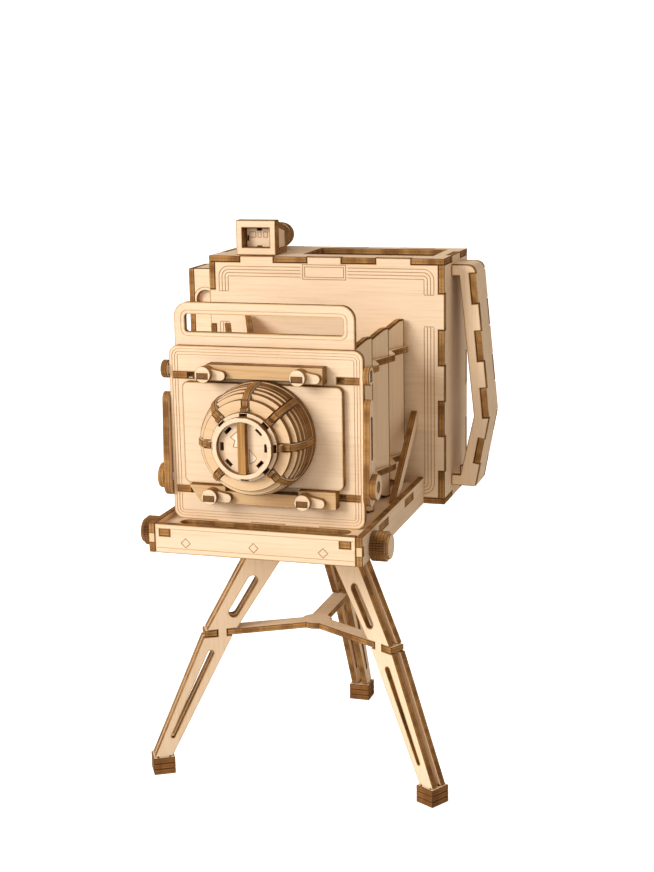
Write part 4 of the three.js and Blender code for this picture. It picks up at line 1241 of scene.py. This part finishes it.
def add_camera():
    """Camera at the photograph's place, turned to the body and rolled slightly."""
    low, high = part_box("body_front")
    target_height = 111.56 * MM
    target = Vector(((low.x + high.x) / 2, low.y, target_height))
    azimuth = math.radians(17.45)
    elevation = math.radians(12.43)
    roll = math.radians(-1.02)
    distance = 550.95 * MM
    level = Vector((math.sin(azimuth), -math.cos(azimuth), 0))
    back = level * math.cos(elevation) + UP * math.sin(elevation)
    right = UP.cross(back).normalized()
    up = back.cross(right)
    x = right * math.cos(roll) + up * math.sin(roll)
    lens = bpy.data.cameras.new("photo_camera")
    lens.sensor_fit = "VERTICAL"
    lens.sensor_height = 36
    lens.lens = 65.23
    lens.clip_start = 0.01
    lens.clip_end = 20
    eye = bpy.data.objects.new("photo_camera", lens)
    bpy.context.scene.collection.objects.link(eye)
    matrix = Matrix((x, back.cross(x), back)).transposed().to_4x4()
    matrix.translation = target + back * distance
    eye.matrix_world = matrix
    bpy.context.scene.camera = eye


def build_stage(stage):
    add_floor(stage)
    middle = (0, 0, 0.11)
    add_light("key_light", (-1.6, -2.2, 1.3), middle, size=1.4, power=stage.key_power)
    add_light("fill_light", (-0.3, -2.7, 0.7), middle, size=1.2, power=stage.fill_power)
    add_sky(stage)
    add_camera()
    bpy.context.scene.view_settings.view_transform = "Standard"


# Operators


class PieceOperator:
    """What the operators that build pieces have in common"""

    bl_options = {"REGISTER", "UNDO"}
    build = None

    def execute(self, context):
        type(self).build(context.scene.plywood_camera)
        return {"FINISHED"}


class CAMERA_OT_body(PieceOperator, bpy.types.Operator):
    """Dress the finger-jointed body and engrave its front"""

    bl_idname = "plywood.body"
    bl_label = "Body"
    build = build_body


class CAMERA_OT_viewfinder(PieceOperator, bpy.types.Operator):
    """Dress the viewfinder and its eyepiece"""

    bl_idname = "plywood.viewfinder"
    bl_label = "Viewfinder"
    build = build_viewfinder


class CAMERA_OT_housing(PieceOperator, bpy.types.Operator):
    """Dress the housing on the body's left side"""

    bl_idname = "plywood.housing"
    bl_label = "Housing"
    build = build_housing


class CAMERA_OT_strap(PieceOperator, bpy.types.Operator):
    """Dress the hand strap"""

    bl_idname = "plywood.strap"
    bl_label = "Hand Strap"
    build = build_strap


class CAMERA_OT_bed(PieceOperator, bpy.types.Operator):
    """Dress the bed and its struts and engrave its front"""

    bl_idname = "plywood.bed"
    bl_label = "Bed"
    build = build_bed


class CAMERA_OT_focus_drive(PieceOperator, bpy.types.Operator):
    """Dress the focus axle and its knobs"""

    bl_idname = "plywood.focus_drive"
    bl_label = "Focus Drive"
    build = build_focus_drive


class CAMERA_OT_standard(PieceOperator, bpy.types.Operator):
    """Dress the front standard, its finder, levers and knobs"""

    bl_idname = "plywood.standard"
    bl_label = "Front Standard"
    build = build_standard


class CAMERA_OT_lens_board(PieceOperator, bpy.types.Operator):
    """Dress the lens board, its clamp bars and turn buttons"""

    bl_idname = "plywood.lens_board"
    bl_label = "Lens Board"
    build = build_lens_board


class CAMERA_OT_lens(PieceOperator, bpy.types.Operator):
    """Build the lens of stacked rings and ribs"""

    bl_idname = "plywood.lens"
    bl_label = "Lens"
    build = build_lens


class CAMERA_OT_bellows(PieceOperator, bpy.types.Operator):
    """Dress the bellows panels and combs"""

    bl_idname = "plywood.bellows"
    bl_label = "Bellows"
    build = build_bellows


class CAMERA_OT_tripod(PieceOperator, bpy.types.Operator):
    """Dress the tripod"""

    bl_idname = "plywood.tripod"
    bl_label = "Tripod"
    build = build_tripod


class CAMERA_OT_stage(bpy.types.Operator):
    """Set up the floor, the lights and the camera"""

    bl_idname = "plywood.stage"
    bl_label = "Stage"
    bl_options = {"REGISTER", "UNDO"}

    def execute(self, context):
        build_stage(context.scene.plywood_stage)
        return {"FINISHED"}


OPERATORS = (
    CAMERA_OT_body, CAMERA_OT_viewfinder, CAMERA_OT_housing, CAMERA_OT_strap, CAMERA_OT_bed,
    CAMERA_OT_focus_drive, CAMERA_OT_standard, CAMERA_OT_lens_board, CAMERA_OT_lens, CAMERA_OT_bellows,
    CAMERA_OT_tripod, CAMERA_OT_stage,
)


class CAMERA_PT_pieces(bpy.types.Panel):
    """Lists the camera's settings and pieces"""

    bl_label = "Plywood Press Camera"
    bl_space_type = "VIEW_3D"
    bl_region_type = "UI"
    bl_category = "Camera"

    def draw(self, context):
        layout = self.layout
        for settings in (context.scene.plywood_camera, context.scene.plywood_stage):
            column = layout.column()
            for name in settings.bl_rna.properties.keys():
                if name not in {"rna_type", "name"}:
                    column.prop(settings, name)
        for operator in OPERATORS:
            layout.operator(operator.bl_idname)


CLASSES = (PlywoodSettings, StageSettings, *OPERATORS, CAMERA_PT_pieces)


def register():
    for each in CLASSES:
        bpy.utils.register_class(each)
    bpy.types.Scene.plywood_camera = PointerProperty(type=PlywoodSettings)
    bpy.types.Scene.plywood_stage = PointerProperty(type=StageSettings)


def unregister():
    del bpy.types.Scene.plywood_stage
    del bpy.types.Scene.plywood_camera
    for each in reversed(CLASSES):
        bpy.utils.unregister_class(each)


def main():
    register()
    for operator in OPERATORS:
        group, name = operator.bl_idname.split(".")
        getattr(getattr(bpy.ops, group), name)()


if __name__ == "__main__":
    main()
